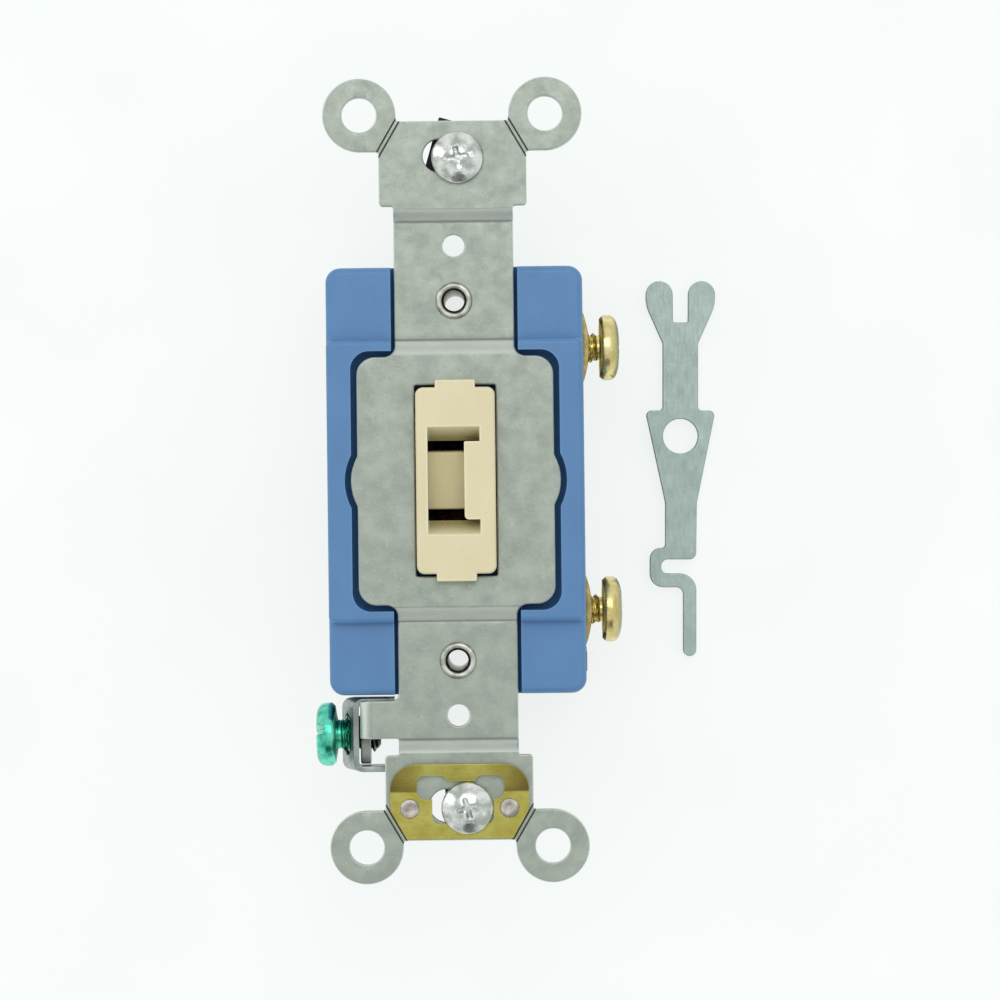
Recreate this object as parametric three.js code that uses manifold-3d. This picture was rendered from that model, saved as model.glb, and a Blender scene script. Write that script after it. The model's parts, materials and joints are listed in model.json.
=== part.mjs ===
// Key-operated (locking) single-pole wall switch with its loose key, lying on its back.
// Millimetres. +Z points out of the face, +Y to the top of the switch, and the origin is the
// centre of the flat back of the body. Built with three.js; manifold-3d only joins and cuts.

import * as THREE from 'three';
import { mergeVertices } from 'three/addons/utils/BufferGeometryUtils.js';
import Module from 'manifold-3d';

const wasm = await Module();
wasm.setup();

// ---------------------------------------------------------------- driving dimensions

const gap = 0.3; // clearance between separate pieces

const body = { width: 33, height: 54.9, corner: 1.6, parting: 15.5 };
const cover = { endTop: 26.9, middleTop: 28.5, middleHalf: 18.2 };
const cavity = {
  halfWidth: 13.9,
  halfHeight: 19.2,
  back: 1.8,
  roof: 24.8, // over the middle, out to roofHalf
  roofHalf: 15.2,
  lowRoof: 23.2,
};

const strap = {
  thickness: 1.3,
  wallPlane: 26.9, // underside of the plaster ears
  drop: 1.6, // how much lower the two necks lie than the ends and the centre plate
  neckHalf: 7.7,
  plateHalf: 12.65,
  plateEnd: 15.95,
  bulge: 13.5, // how far the rounded swelling halfway down each side of the plate reaches
  bulgeRadius: 6.5,
  slopeIn: [16.1, 18.0],
  slopeOut: [33.3, 34.9],
  tabHalf: 9.5,
  tabStart: 35.2,
  tabEnd: 46.15,
};
const ear = { x: 11.93, y: 46.95, radius: 4.72, hole: 2.2, breakX: 7.21, breakY: 42.23 };
const deviceScrew = {
  y: 41.67,
  slotHalf: 3.8,
  slotHeight: 4.2,
  head: 3.35,
  headTop: 1.95,
  shank: 1.72,
  length: 19,
};
const plateScrew = { y: 30.16, hole: 1.41 };
const rivet = { y: 23.1, flange: 2.4, tube: 1.75, bore: 1.33 };
const faceWindow = { halfWidth: 5.22, halfHeight: 12.27, corner: 0.3 };

const lockFace = { halfWidth: 5.1, halfHeight: 11.95, corner: 1.0, bottom: 26.75, top: 30.4 };
const faceTab = { halfWidth: 2.57, end: 12.9, bottom: 28.35 };
const keyway = {
  left: -3.6,
  right: 3.1,
  end: 6.9, // where each ramp meets the face
  rampFoot: 5.1,
  rampDepth: 1.8,
  barLeft: 1.1,
  barHalf: 5.0,
  barDepth: 2.0,
};

const lever = {
  pivotZ: 23.4,
  tilt: 8, // degrees either side of upright
  paddleHalf: 4.0,
  paddleLow: -3.4,
  paddleHigh: 4.1,
  top: 2.5,
  barrel: 2.9,
  barrelEnd: 12.2,
  bore: 1.95,
  boreTop: 3.4,
  trunnion: 1.4,
};
const arm = { pivotZ: 6.8, tilt: 6, half: 12.4, halfWidth: 2.6, thickness: 1.0, contactY: 11 };

const terminal = {
  topY: 17.1,
  bottomY: -16.9,
  screwZ: 15,
  plateX: 15.9,
  plateLength: 9.9,
  plateLow: 10,
  plateHigh: 19.6,
  bulge: 0.95,
  sheet: 1.2,
  floor: 1.9,
  legX: 12.5, // outer side of the leg that runs down inside the wall
};
const terminalScrew = { headFrom: 18.75, headRadius: 4.25, headDepth: 2.65, shank: 1.95, tip: 12.9 };
const slotTurn = { line: 80, load: 100, ground: -13 }; // how far each side screw's slot is turned
const ground = {
  y: -32.6,
  z: 20.5,
  tabLeft: -12.7,
  tabTop: -28.2,
  tabBottom: -33.1,
  padTop: -29.1,
  padBottom: -36.4,
  padLow: 16.5,
};
const groundScrew = {
  headFrom: -15.9,
  headRadius: 4.1,
  headDepth: 2.6,
  neck: 1.76,
  thread: 2.3,
  tip: -10.1,
};
const bracket = {
  top: -27.9,
  bottom: -37.4,
  sheet: 0.75,
  lowZ: 16.8,
  highZ: 24.6,
  wallTop: -13.6, // where the leaning wall starts at its top edge
  wallLow: -15.2,
  right: -8.3,
};

const clip = {
  half: 8.9,
  top: -36.3,
  crease: -39.9,
  bottom: -45.95,
  sheet: 0.5,
  lift: 0.9, // rise of the tilted part above the crease
  rivetX: 6.4,
  rivetY: -42.0,
  rivetHole: 1.1,
  rivetHead: 1.24,
};
const screwAt = { top: [0.65, 41.37], bottom: [1.0, -41.97] };
const screwTurn = { top: 12, bottom: 15 };
const key = {
  x: 29.8,
  top: 26.1,
  turn: -0.66,
  thickness: 1.3,
  lobe: 1.8, // radius of the two rounded prongs of the fork
  forkHalf: 4.6,
  slotHalf: 0.98,
  hole: 2.29,
  holeY: -20.5,
};

// ---------------------------------------------------------------- finishes

const finish = (color, roughness, metalness) =>
  new THREE.MeshStandardMaterial({ color, roughness, metalness });
const steel = finish(0xaab2a8, 0.42, 0.9);
const zinc = finish(0xd8d8d4, 0.2, 1);
const bluePlastic = finish(0x5f8cbb, 0.45, 0);
const blackPlastic = finish(0x1d1e20, 0.5, 0);
const ivory = finish(0xe1d2ae, 0.35, 0);
const brass = finish(0xb9a85a, 0.3, 0.95);
const greenSteel = finish(0x3faa84, 0.3, 0.8);
const copper = finish(0xb87850, 0.35, 0.95);
const silver = finish(0xcfcfcf, 0.25, 1);
const rubber = finish(0x2a2a2a, 0.9, 0);
const fibre = finish(0x1b1b1b, 0.8, 0);

// ---------------------------------------------------------------- shapes

const degrees = (angle) => (angle * Math.PI) / 180;
const arcStep = degrees(22.5);

/** Points of an arc about (cx, cy); `to` below `from` runs clockwise. */
function arc(cx, cy, radius, from, to, step = arcStep) {
  const count = Math.max(2, Math.ceil(Math.abs(to - from) / step));
  return Array.from({ length: count + 1 }, (_, i) => {
    const angle = from + ((to - from) * i) / count;
    return new THREE.Vector2(cx + radius * Math.cos(angle), cy + radius * Math.sin(angle));
  });
}

const circle = (cx, cy, radius, count = 16) =>
  arc(cx, cy, radius, 0, 2 * Math.PI, (2 * Math.PI) / count).slice(0, -1);

/** A closed outline through [x, y, radius] corners, each rounded by its radius. */
function outline(corners) {
  return corners.flatMap(([x, y, radius = 0], i) => {
    if (!radius) return [new THREE.Vector2(x, y)];
    const corner = new THREE.Vector2(x, y);
    const [before, after] = [corners.at(i - 1), corners[(i + 1) % corners.length]].map(([px, py]) =>
      new THREE.Vector2(px - x, py - y).normalize(),
    );
    const half = Math.acos(before.dot(after)) / 2;
    const centre = before.clone().add(after).setLength(radius / Math.sin(half)).add(corner);
    const start = before.clone().multiplyScalar(radius / Math.tan(half)).add(corner).sub(centre).angle();
    const sweep = (before.cross(after) < 0 ? 1 : -1) * (Math.PI - 2 * half);
    return arc(centre.x, centre.y, radius, start, start + sweep);
  });
}

/** The two ends of a stretch that lies `near` to `far` on one side of an axis. */
const side = (sign, near, far) => (sign > 0 ? [near, far] : [-far, -near]);

const box = (x0, x1, y0, y1) => [[x0, y0], [x1, y0], [x1, y1], [x0, y1]];
const roundedBox = (x0, x1, y0, y1, radius) =>
  outline(box(x0, x1, y0, y1).map(([x, y]) => [x, y, radius]));
const toPoints = (pairs) => pairs.map((p) => (Array.isArray(p) ? new THREE.Vector2(...p) : p));

/** A plate of the given outline, level with the face, between two heights. */
function plate(points, low, high, holes = []) {
  const shape = new THREE.Shape(toPoints(points));
  shape.holes = holes.map((hole) => new THREE.Path(toPoints(hole)));
  return new THREE.ExtrudeGeometry(shape, { depth: high - low, bevelEnabled: false }).translate(0, 0, low);
}

const axes = {
  x: new THREE.Vector3(1, 0, 0),
  y: new THREE.Vector3(0, 1, 0),
  z: new THREE.Vector3(0, 0, 1),
};
const yzToX = new THREE.Matrix4().makeBasis(axes.y, axes.z, axes.x);
const zxToY = new THREE.Matrix4().makeBasis(axes.z, axes.x, axes.y);

/** A bar along X whose section is drawn in (y, z). */
const barAlongX = (section, x0, x1) => plate(section, x0, x1).applyMatrix4(yzToX);

/** A bar along Y whose section is drawn in (z, x). */
const barAlongY = (section, y0, y1) => plate(section, y0, y1).applyMatrix4(zxToY);

/** Heights well below and well above the switch, for cuts that go right through. */
const below = -1;
const above = 40;

/** A turned piece about Z from (radius, z) points. */
const turned = (profile, count = 18) => new THREE.LatheGeometry(toPoints(profile), count);
const aboutZ = (profile, count) => turned(profile, count).rotateX(Math.PI / 2);
/** A turned piece about X: its profile's second number runs along +X. */
const aboutX = (profile, count) => turned(profile, count).rotateZ(-Math.PI / 2);

/** A closed geometry as a manifold solid. */
function solid(geometry) {
  const bare = geometry.clone();
  bare.deleteAttribute('normal');
  bare.deleteAttribute('uv');
  const merged = mergeVertices(bare, 1e-4);
  const vertProperties = new Float32Array(merged.attributes.position.array);
  const triVerts = new Uint32Array(merged.index.array);
  return new wasm.Manifold(new wasm.Mesh({ numProp: 3, vertProperties, triVerts }));
}

function geometryOf(manifold) {
  const { vertProperties, triVerts } = manifold.getMesh();
  const geometry = new THREE.BufferGeometry();
  geometry.setAttribute('position', new THREE.BufferAttribute(vertProperties, 3));
  geometry.setIndex(new THREE.BufferAttribute(triVerts, 1));
  return geometry;
}

/** The first geometry with `added` joined to it and `removed` cut from it. */
function carve(base, { added = [], removed = [] }) {
  const joined = added.reduce((whole, piece) => whole.add(solid(piece)), solid(base));
  return geometryOf(removed.reduce((whole, piece) => whole.subtract(solid(piece)), joined));
}

const object = new THREE.Group();

/** Adds one named piece to a group. */
function piece(name, geometry, material, parent = object) {
  const mesh = new THREE.Mesh(geometry, material);
  mesh.name = name;
  parent.add(mesh);
  return mesh;
}

const mirrorY = (pairs) => pairs.map(([x, y, r]) => [x, -y, r]).reverse();
const mirrorX = (pairs) => pairs.map(([x, y, r]) => [-x, y, r]).reverse();

// ---------------------------------------------------------------- strap

const strapTop = strap.wallPlane + strap.thickness;
const neckTop = strapTop - strap.drop;
const neckUnder = strap.wallPlane - strap.drop;

/** Side view of the strap in (y, z): high at both ends and across the centre plate. */
function strapSection() {
  const reach = ear.y + ear.radius + 1;
  const upper = [
    [reach, 0],
    [strap.slopeOut[1], 0],
    [strap.slopeOut[0], strap.drop],
    [strap.slopeIn[1], strap.drop],
    [strap.slopeIn[0], 0],
  ];
  const half = [...upper, ...upper.map(([y, drop]) => [-y, drop]).reverse()];
  return [
    ...half.map(([y, drop]) => [y, strapTop - drop]),
    ...half.map(([y, drop]) => [y, strap.wallPlane - drop]).reverse(),
  ];
}

/** The centre plate's right side, bottom to top, grown outwards by `grow`. */
const plateSide = (grow = 0) => {
  const edge = strap.plateHalf + grow;
  const end = strap.plateEnd + grow;
  const centre = strap.bulge - strap.bulgeRadius;
  const radius = strap.bulgeRadius + grow;
  const reach = Math.acos((edge - centre) / radius);
  const swelling = arc(centre, 0, radius, -reach, reach, degrees(10)).map(({ x, y }) => [x, y]);
  return [[edge, -end, 2.4], ...swelling, [edge, end, 2.4]];
};

function strapOutline() {
  const tab = [
    [strap.neckHalf, strap.plateEnd, 1.4],
    [strap.neckHalf, strap.tabStart, 0.35],
    [strap.tabHalf, strap.tabStart, 0.5],
    [strap.tabHalf, ear.breakY - 0.2],
    [ear.breakX - 0.1, strap.tabEnd],
  ];
  const right = [...mirrorY(tab), ...plateSide(), ...tab];
  return outline([...right, ...mirrorX(right)]);
}

/** One plaster ear: a ring whose sides run straight to the ends of the break line. */
function earPlate(signX, signY) {
  const at = (x, y) => [signX * x, signY * y];
  const inside = 0.05; // how far the wedge reaches into the tab
  const wedge = [
    at(ear.x, ear.y), at(ear.x, ear.breakY), at(strap.tabHalf - inside, ear.breakY),
    at(ear.breakX, strap.tabEnd - inside), at(ear.breakX, ear.y),
  ];
  const ring = circle(...at(ear.x, ear.y), ear.radius, 28);
  return [ring, wedge].map((shape) => plate(shape, strap.wallPlane, strapTop));
}

/** The groove along one ear's break line, cut into both faces. */
function breakGrooves(signX, signY) {
  const width = 0.5;
  const depth = 0.25;
  const [dx, dy] = [strap.tabHalf - ear.breakX, ear.breakY - strap.tabEnd];
  const middle = [ear.breakX + dx / 2 + 0.12, strap.tabEnd + dy / 2 + 0.1];
  const centre = [signX * middle[0], signY * middle[1]];
  const length = Math.hypot(dx, dy) + 1.6;
  const angle = Math.atan2(signY * dy, signX * dx);
  const groove = new THREE.BoxGeometry(length, width, 2 * depth).rotateZ(angle);
  return [strapTop, strap.wallPlane].map((z) => groove.clone().translate(...centre, z));
}

function makeStrap() {
  const corners = [[1, 1], [-1, 1], [-1, -1], [1, -1]];
  const through = [neckUnder - 1, strapTop + 1];
  const bothEnds = (shape) => [1, -1].map((sign) => plate(shape(sign), ...through));
  const slotRadius = deviceScrew.slotHeight / 2;
  const slotCentre = deviceScrew.slotHalf - slotRadius;
  const quarter = Math.PI / 2;
  const slot = (sign) => [
    ...arc(slotCentre, sign * deviceScrew.y, slotRadius, -quarter, quarter),
    ...arc(-slotCentre, sign * deviceScrew.y, slotRadius, quarter, 3 * quarter),
  ];
  const { halfWidth, halfHeight, corner } = faceWindow;
  const window = roundedBox(-halfWidth, halfWidth, -halfHeight, halfHeight, corner);

  // The ground tab runs left from the lower neck, then turns down into a pad for the ground screw.
  const { tabLeft, tabTop, tabBottom, padTop, padBottom, padLow } = ground;
  const padRight = tabLeft + strap.thickness;
  const padOutline = roundedBox(padBottom, padTop, padLow, neckUnder - 1.2, 1.2);
  const groundTab = [
    plate(box(tabLeft, -strap.neckHalf + 1, tabBottom, tabTop), neckUnder, neckTop),
    plate(box(tabLeft, padRight, tabBottom, padTop), padLow, neckTop - 0.5),
    barAlongX(padOutline, tabLeft, padRight),
  ];
  const groundHole = circle(ground.y, ground.z, groundScrew.thread + gap, 20);

  const stepped = solid(barAlongX(strapSection(), -20, 20));
  const blank = stepped.intersect(solid(plate(strapOutline(), ...through)));
  return carve(geometryOf(blank), {
    added: [...corners.flatMap(([x, y]) => earPlate(x, y)), ...groundTab],
    removed: [
      plate(window, ...through),
      ...bothEnds(slot),
      ...bothEnds((sign) => circle(0, sign * plateScrew.y, plateScrew.hole)),
      ...bothEnds((sign) => circle(0, sign * rivet.y, rivet.tube + gap)),
      ...bothEnds((sign) => circle(sign * clip.rivetX, clip.rivetY, clip.rivetHole, 12)),
      ...corners.map(([x, y]) => plate(circle(x * ear.x, y * ear.y, ear.hole), ...through)),
      ...corners.flatMap(([x, y]) => breakGrooves(x, y)),
      barAlongX(groundHole, tabLeft - 1, padRight + 1),
    ],
  });
}

piece('strap', makeStrap(), steel);

// ---------------------------------------------------------------- housing

const halfBody = { x: body.width / 2, y: body.height / 2 };
const terminals = [terminal.topY, terminal.bottomY];
const cavityBox = box(-cavity.halfWidth, cavity.halfWidth, -cavity.halfHeight, cavity.halfHeight);

const rivetHoles = (low, high) =>
  [1, -1].map((sign) => plate(circle(0, sign * rivet.y, rivet.tube + gap), low, high));

/** The recess and the slot that one side terminal and its screw need in the wall. */
const terminalRecess = (y, low, high, slotHigh) => {
  const recessHalf = 5.5;
  const slotHalf = 2.9;
  return [
    plate(box(terminal.plateX - 1.2, halfBody.x + 1, y - recessHalf, y + recessHalf), low, high),
    plate(box(cavity.halfWidth - 0.5, terminal.plateX, y - slotHalf, y + slotHalf), low, slotHigh),
  ];
};

function makeFrontCover() {
  const low = body.parting + gap;
  const neckFloor = neckUnder - gap;
  const plateFloor = strap.wallPlane - gap;
  const channelHalf = strap.neckHalf + 0.45;
  const pocket = outline([...plateSide(0.75), ...mirrorX(plateSide(0.75))]);
  const leverOpening = box(-4.5, 4.5, -5.6, 5.6);

  // Two lugs hang from the roof; the lever's trunnions sit in the slots cut up into them.
  const lugs = [1, -1].map((sign) => {
    const ends = side(sign, lever.paddleHalf + 0.9, lever.paddleHalf + 2.7);
    return barAlongX(box(-2.6, 2.6, lever.pivotZ - 1.6, cavity.roof + 0.5), ...ends);
  });
  const slotHalf = lever.trunnion + gap;
  const slotSection = [
    ...arc(0, lever.pivotZ, slotHalf, 0, Math.PI),
    [-slotHalf, lever.pivotZ - 2.5],
    [slotHalf, lever.pivotZ - 2.5],
  ];
  const lugSlots = barAlongX(slotSection, -lever.paddleHalf - 3, lever.paddleHalf + 3);

  const raised = box(-cavity.halfWidth, cavity.halfWidth, -cavity.roofHalf, cavity.roofHalf);
  const hollow = carve(plate(cavityBox, low - 1, cavity.lowRoof), {
    added: [plate(raised, low, cavity.roof)],
  });
  const footprint = roundedBox(-halfBody.x, halfBody.x, -halfBody.y, halfBody.y, body.corner);
  const middle = roundedBox(-halfBody.x, halfBody.x, -cover.middleHalf, cover.middleHalf, 0.6);
  const shell = carve(plate(footprint, low, cover.endTop), {
    added: [plate(middle, low + 1, cover.middleTop)],
    removed: [hollow],
  });
  const recessTop = terminal.screwZ + 5.2;
  const slotTop = terminal.screwZ + 2.6;
  const channels = [1, -1].map((sign) => box(-channelHalf, channelHalf, ...side(sign, 15.8, 30)));
  return carve(shell, {
    added: lugs,
    removed: [
      ...channels.map((channel) => plate(channel, neckFloor, above)),
      plate(pocket, plateFloor, above),
      plate(leverOpening, low, above),
      lugSlots,
      ...rivetHoles(low - 1, above),
      ...terminals.flatMap((y) => terminalRecess(y, low - 1, recessTop, slotTop)),
    ],
  });
}

function makeBackBody() {
  const shrink = 0.1;
  const [x, y] = [halfBody.x - shrink, halfBody.y - shrink];
  const shell = plate(roundedBox(-x, x, -y, y, body.corner), 0, body.parting);
  // A moulding rib on the lower right side.
  const rib = roundedBox(halfBody.x - 1, halfBody.x + 0.25, -25.1, -21.7, 0.3);
  const counterbore = { radius: 3, depth: 1.2 };
  const recessLow = terminal.screwZ - 5.4;
  return carve(shell, {
    added: [plate(rib, 1.5, body.parting - 1)],
    removed: [
      plate(cavityBox, cavity.back, above),
      ...rivetHoles(below, above),
      ...[1, -1].map((sign) => {
        return plate(circle(0, sign * rivet.y, counterbore.radius), below, counterbore.depth);
      }),
      ...terminals.flatMap((at) => terminalRecess(at, recessLow, above, above)),
    ],
  });
}

piece('front_cover', makeFrontCover(), bluePlastic);
piece('back_body', makeBackBody(), blackPlastic);

// ---------------------------------------------------------------- rivets through strap and housing

for (const [name, sign] of [['top', 1], ['bottom', -1]]) {
  const flangeZ = neckTop + 0.05;
  const profile = [
    [rivet.bore, 0.25], [2.5, 0.25], [2.5, 0.8], [rivet.tube, 0.95],
    [rivet.tube, flangeZ], [rivet.flange, flangeZ], [rivet.flange - 0.3, flangeZ + 0.4],
    [rivet.bore + 0.4, flangeZ + 0.4], [rivet.bore, flangeZ + 0.1], [rivet.bore, 0.25],
  ];
  piece(`body_rivet_${name}`, aboutZ(profile), zinc).position.set(0, sign * rivet.y, 0);
}

// ---------------------------------------------------------------- lock face

function makeLockFace() {
  const face = lockFace;
  const tabs = [1, -1].map((sign) => {
    const reach = side(sign, face.halfHeight - 1, faceTab.end);
    return plate(box(-faceTab.halfWidth, faceTab.halfWidth, ...reach), faceTab.bottom, face.top);
  });
  const rampZ = face.top - keyway.rampDepth;
  // Both ramps run on a little above the face, so that the cut leaves no skin.
  const over = 0.2;
  const slope = (keyway.end - keyway.rampFoot) / keyway.rampDepth;
  const mouthEnd = keyway.end + slope * over;
  const mouth = [
    [-keyway.rampFoot, rampZ],
    [keyway.rampFoot, rampZ],
    [mouthEnd, face.top + over],
    [-mouthEnd, face.top + over],
  ];
  const shaft = box(keyway.left, keyway.right, -keyway.rampFoot, keyway.rampFoot);
  const bar = box(keyway.barLeft, keyway.right + 1, -keyway.barHalf, keyway.barHalf);
  const opening = carve(barAlongX(mouth, keyway.left, keyway.right), {
    added: [plate(shaft, face.bottom - 1, rampZ + 0.1)],
    removed: [plate(bar, face.top - keyway.barDepth, face.top + 1)],
  });
  const footprint = roundedBox(
    -face.halfWidth, face.halfWidth, -face.halfHeight, face.halfHeight, face.corner,
  );
  return carve(plate(footprint, face.bottom, face.top), { added: tabs, removed: [opening] });
}

piece('lock_face', makeLockFace(), ivory);

// ---------------------------------------------------------------- lever, its spring and plunger

const leverGroup = new THREE.Group();
leverGroup.position.z = lever.pivotZ;
leverGroup.rotation.x = degrees(lever.tilt);
object.add(leverGroup);

function makeLever() {
  const { paddleHalf, paddleLow, paddleHigh, top } = lever;
  const { barrel, barrelEnd, bore, boreTop, trunnion } = lever;
  const hubRadius = 2.2;
  const neck = [[-hubRadius, 0], [hubRadius, 0], [3.0, top - 1], [-3.0, top - 1]];
  return carve(barAlongX(circle(0, 0, hubRadius, 20), -paddleHalf, paddleHalf), {
    added: [
      plate(roundedBox(-paddleHalf, paddleHalf, paddleLow, paddleHigh, 0.5), top - 1.3, top),
      barAlongX(neck, -3.4, 3.4),
      barAlongX(circle(0, 0, trunnion, 16), -paddleHalf - 2.5, paddleHalf + 2.5),
      aboutZ([[0, -barrelEnd], [barrel, -barrelEnd], [barrel, 0], [0, 0]], 20),
    ],
    removed: [
      aboutZ([[0, -barrelEnd - 1], [bore, -barrelEnd - 1], [bore, -boreTop], [0, -boreTop]], 20),
    ],
  });
}

/** A coil spring: a round wire swept along a helix about Z, from `low` to `high`. */
function coil({ radius, wire, turns, low, high }) {
  const helix = new THREE.Curve();
  helix.getPoint = (t, target = new THREE.Vector3()) => {
    const angle = 2 * Math.PI * turns * t;
    return target.set(radius * Math.cos(angle), radius * Math.sin(angle), low + (high - low) * t);
  };
  const section = new THREE.Shape(circle(0, 0, wire, 5));
  return new THREE.ExtrudeGeometry(section, { steps: turns * 10, extrudePath: helix });
}

piece('lever', makeLever(), ivory, leverGroup);
const plungerProfile = [
  [0, -15.72], [0.8, -15.5], [1.45, -14.6], [1.6, -13.6], [1.6, -10.4], [0, -10.4],
];
const spring = coil({ radius: 1.3, wire: 0.22, turns: 6, low: -10.0, high: -3.9 });
piece('lever_spring', spring, steel, leverGroup);
piece('plunger', aboutZ(plungerProfile), brass, leverGroup);

// ---------------------------------------------------------------- see-saw contact arm

const armGroup = new THREE.Group();
armGroup.position.z = arm.pivotZ;
armGroup.rotation.x = degrees(-arm.tilt);
object.add(armGroup);

const armFaces = [-arm.thickness / 2, arm.thickness / 2];
const armOutline = roundedBox(-arm.halfWidth, arm.halfWidth, -arm.half, arm.half, 1.2);
const armPivots = plate(box(-5.4, 5.4, -0.9, 0.9), ...armFaces);
const armBlade = carve(plate(armOutline, ...armFaces), { added: [armPivots] });
piece('contact_arm', armBlade, copper, armGroup);

/** A contact button from its flat side at 0 down (`way` -1) or up (`way` 1) to its dome. */
const button = (way, points) => aboutZ(points.map(([radius, height]) => [radius, way * height]));
const movingButton = button(-1, [[0, 0.9], [1.4, 0.8], [1.8, 0.5], [1.8, 0.02], [0, 0.02]]);
piece('moving_contact', movingButton, silver, armGroup)
  .position.set(0, -arm.contactY, armFaces[0]);

// ---------------------------------------------------------------- terminals

const floorTop = terminal.floor + terminal.sheet;

/** The outer plate of a side terminal and its bent leg down to the floor of the cavity. */
function terminalBase(y) {
  const { plateX, plateLength, plateLow, plateHigh, bulge, sheet, floor, legX } = terminal;
  const half = plateLength / 2;
  const chordRadius = (half * half + bulge * bulge) / (2 * bulge);
  const sweep = Math.asin(half / chordRadius);
  const outer = plateX + 0.55;
  const bow = arc(outer + bulge - chordRadius, y, chordRadius, -sweep, sweep, degrees(7));
  const inner = [[plateX, y + half - 0.6], [plateX, y - half + 0.6]];
  const lens = plate([...bow, ...inner], plateLow, plateHigh);
  // In (z, x): in through the wall, down, and in again along the floor.
  const leg = [
    [plateLow, plateX + 0.2],
    [plateLow, legX],
    [floor, legX],
    [floor, 6],
    [floorTop, 6],
    [floorTop, legX - sheet],
    [plateLow + sheet, legX - sheet],
    [plateLow + sheet, plateX + 0.2],
  ];
  const sides = side(y, Math.abs(y) - 2.5, Math.abs(y) + 1.6);
  return { lens, leg: barAlongY(leg, ...sides) };
}

const screwHole = (y) =>
  barAlongX(circle(y, terminal.screwZ, terminalScrew.shank + gap, 20), 14, 20);

/** The upper terminal carries the cradle in which the contact arm rocks. */
function makeLineTerminal() {
  const { lens, leg } = terminalBase(terminal.topY);
  const { topY, floor } = terminal;
  const notch = [
    [1.35, arm.pivotZ + 1],
    [1.1, arm.pivotZ - 1.1],
    [-1.1, arm.pivotZ - 1.1],
    [-1.35, arm.pivotZ + 1],
  ];
  const earSection = box(-2.6, 2.6, floor, arm.pivotZ + 0.5);
  const ears = [1, -1].map((sign) => barAlongX(earSection, ...side(sign, 3.4, 4.6)));
  return carve(lens, {
    added: [
      leg,
      plate(box(-4.6, 6.5, topY - 2.5, topY + 1.6), floor, floorTop),
      plate(box(-4.6, 4.6, -2.6, topY), floor, floorTop),
      ...ears,
    ],
    removed: [screwHole(topY), barAlongX(notch, -6, 6)],
  });
}

/** The lower terminal carries the fixed contact. */
function makeLoadTerminal() {
  const { lens, leg } = terminalBase(terminal.bottomY);
  const { bottomY, floor } = terminal;
  return carve(lens, {
    added: [
      leg,
      plate(box(-2.6, 6.5, bottomY - 1.6, bottomY + 2.5), floor, floorTop),
      plate(roundedBox(-2.6, 2.6, bottomY, -arm.contactY + 2.6, 1), floor, floorTop),
    ],
    removed: [screwHole(bottomY)],
  });
}

piece('line_terminal', makeLineTerminal(), brass);
piece('load_terminal', makeLoadTerminal(), brass);
const fixedButton = button(1, [[0, 0.02], [2, 0.02], [2, 0.5], [1.5, 0.8], [0, 0.8]]);
piece('fixed_contact', fixedButton, silver).position.set(0, -arm.contactY, floorTop);
piece('arm_bumper', plate(roundedBox(-2.4, 2.4, 9.6, 12.2, 0.5), floorTop + 0.02, 4.6), rubber);

/** A binding-head screw about X: its head's underside at 0, its shank running to -length. */
function bindingScrew({ headRadius, headDepth, neck, shank, length }) {
  const profile = [
    [0, -length], [shank - 0.5, -length], [shank, -length + 0.6], [shank, -1.1], [neck, -0.9], [neck, 0],
    [headRadius - 0.45, 0], [headRadius, 0.65], [headRadius - 0.4, headDepth - 0.55],
    [headRadius * 0.62, headDepth - 0.05], [0, headDepth],
  ];
  const slot = new THREE.BoxGeometry(1.6, 1.1, 12).translate(headDepth + 0.05, 0, 0);
  return carve(aboutX(profile), { removed: [slot] });
}

for (const [name, y] of [['line', terminal.topY], ['load', terminal.bottomY]]) {
  const { headFrom, headRadius, headDepth, shank, tip } = terminalScrew;
  const length = headFrom - tip;
  const screw = bindingScrew({ headRadius, headDepth, neck: shank, shank, length });
  const placed = piece(`${name}_terminal_screw`, screw, brass);
  placed.position.set(headFrom, y, terminal.screwZ);
  placed.rotation.x = degrees(slotTurn[name]);
}

// ---------------------------------------------------------------- ground screw and bracket

const groundBody = bindingScrew({
  headRadius: groundScrew.headRadius,
  headDepth: groundScrew.headDepth,
  neck: groundScrew.neck,
  shank: groundScrew.thread,
  length: groundScrew.tip - groundScrew.headFrom,
}).rotateY(Math.PI);
const groundPlaced = piece('ground_screw', groundBody, greenSteel);
groundPlaced.position.set(groundScrew.headFrom, ground.y, ground.z);
groundPlaced.rotation.x = degrees(slotTurn.ground);

/** A strip bent round the strap's pad: two arms and a leaning wall that the screw goes through. */
function makeGroundBracket() {
  const { top, bottom, sheet, lowZ, highZ, wallTop, wallLow, right } = bracket;
  const wallSection = [
    [highZ, wallTop],
    [highZ, wallTop + sheet - 0.2],
    [lowZ, wallLow + sheet],
    [lowZ, wallLow],
  ];
  // The arms' outer ends follow the lean of the wall.
  const footSection = [
    [highZ, wallTop + 0.1],
    [highZ, wallTop + 0.5],
    [lowZ, wallTop + 0.5],
    [lowZ, wallLow + 0.1],
  ];
  const arms = [[top - sheet, top], [bottom, bottom + sheet]].flatMap((ends) => [
    plate(box(wallTop, right, ...ends), lowZ, highZ),
    barAlongY(footSection, ...ends),
  ]);
  const hole = circle(ground.y, ground.z, groundScrew.thread + 0.5, 20);
  return carve(barAlongY(wallSection, bottom, top), {
    added: arms,
    removed: [barAlongX(hole, wallLow - 1, wallTop + 2)],
  });
}

piece('ground_bracket', makeGroundBracket(), steel);

// ---------------------------------------------------------------- self-grounding clip

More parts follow.
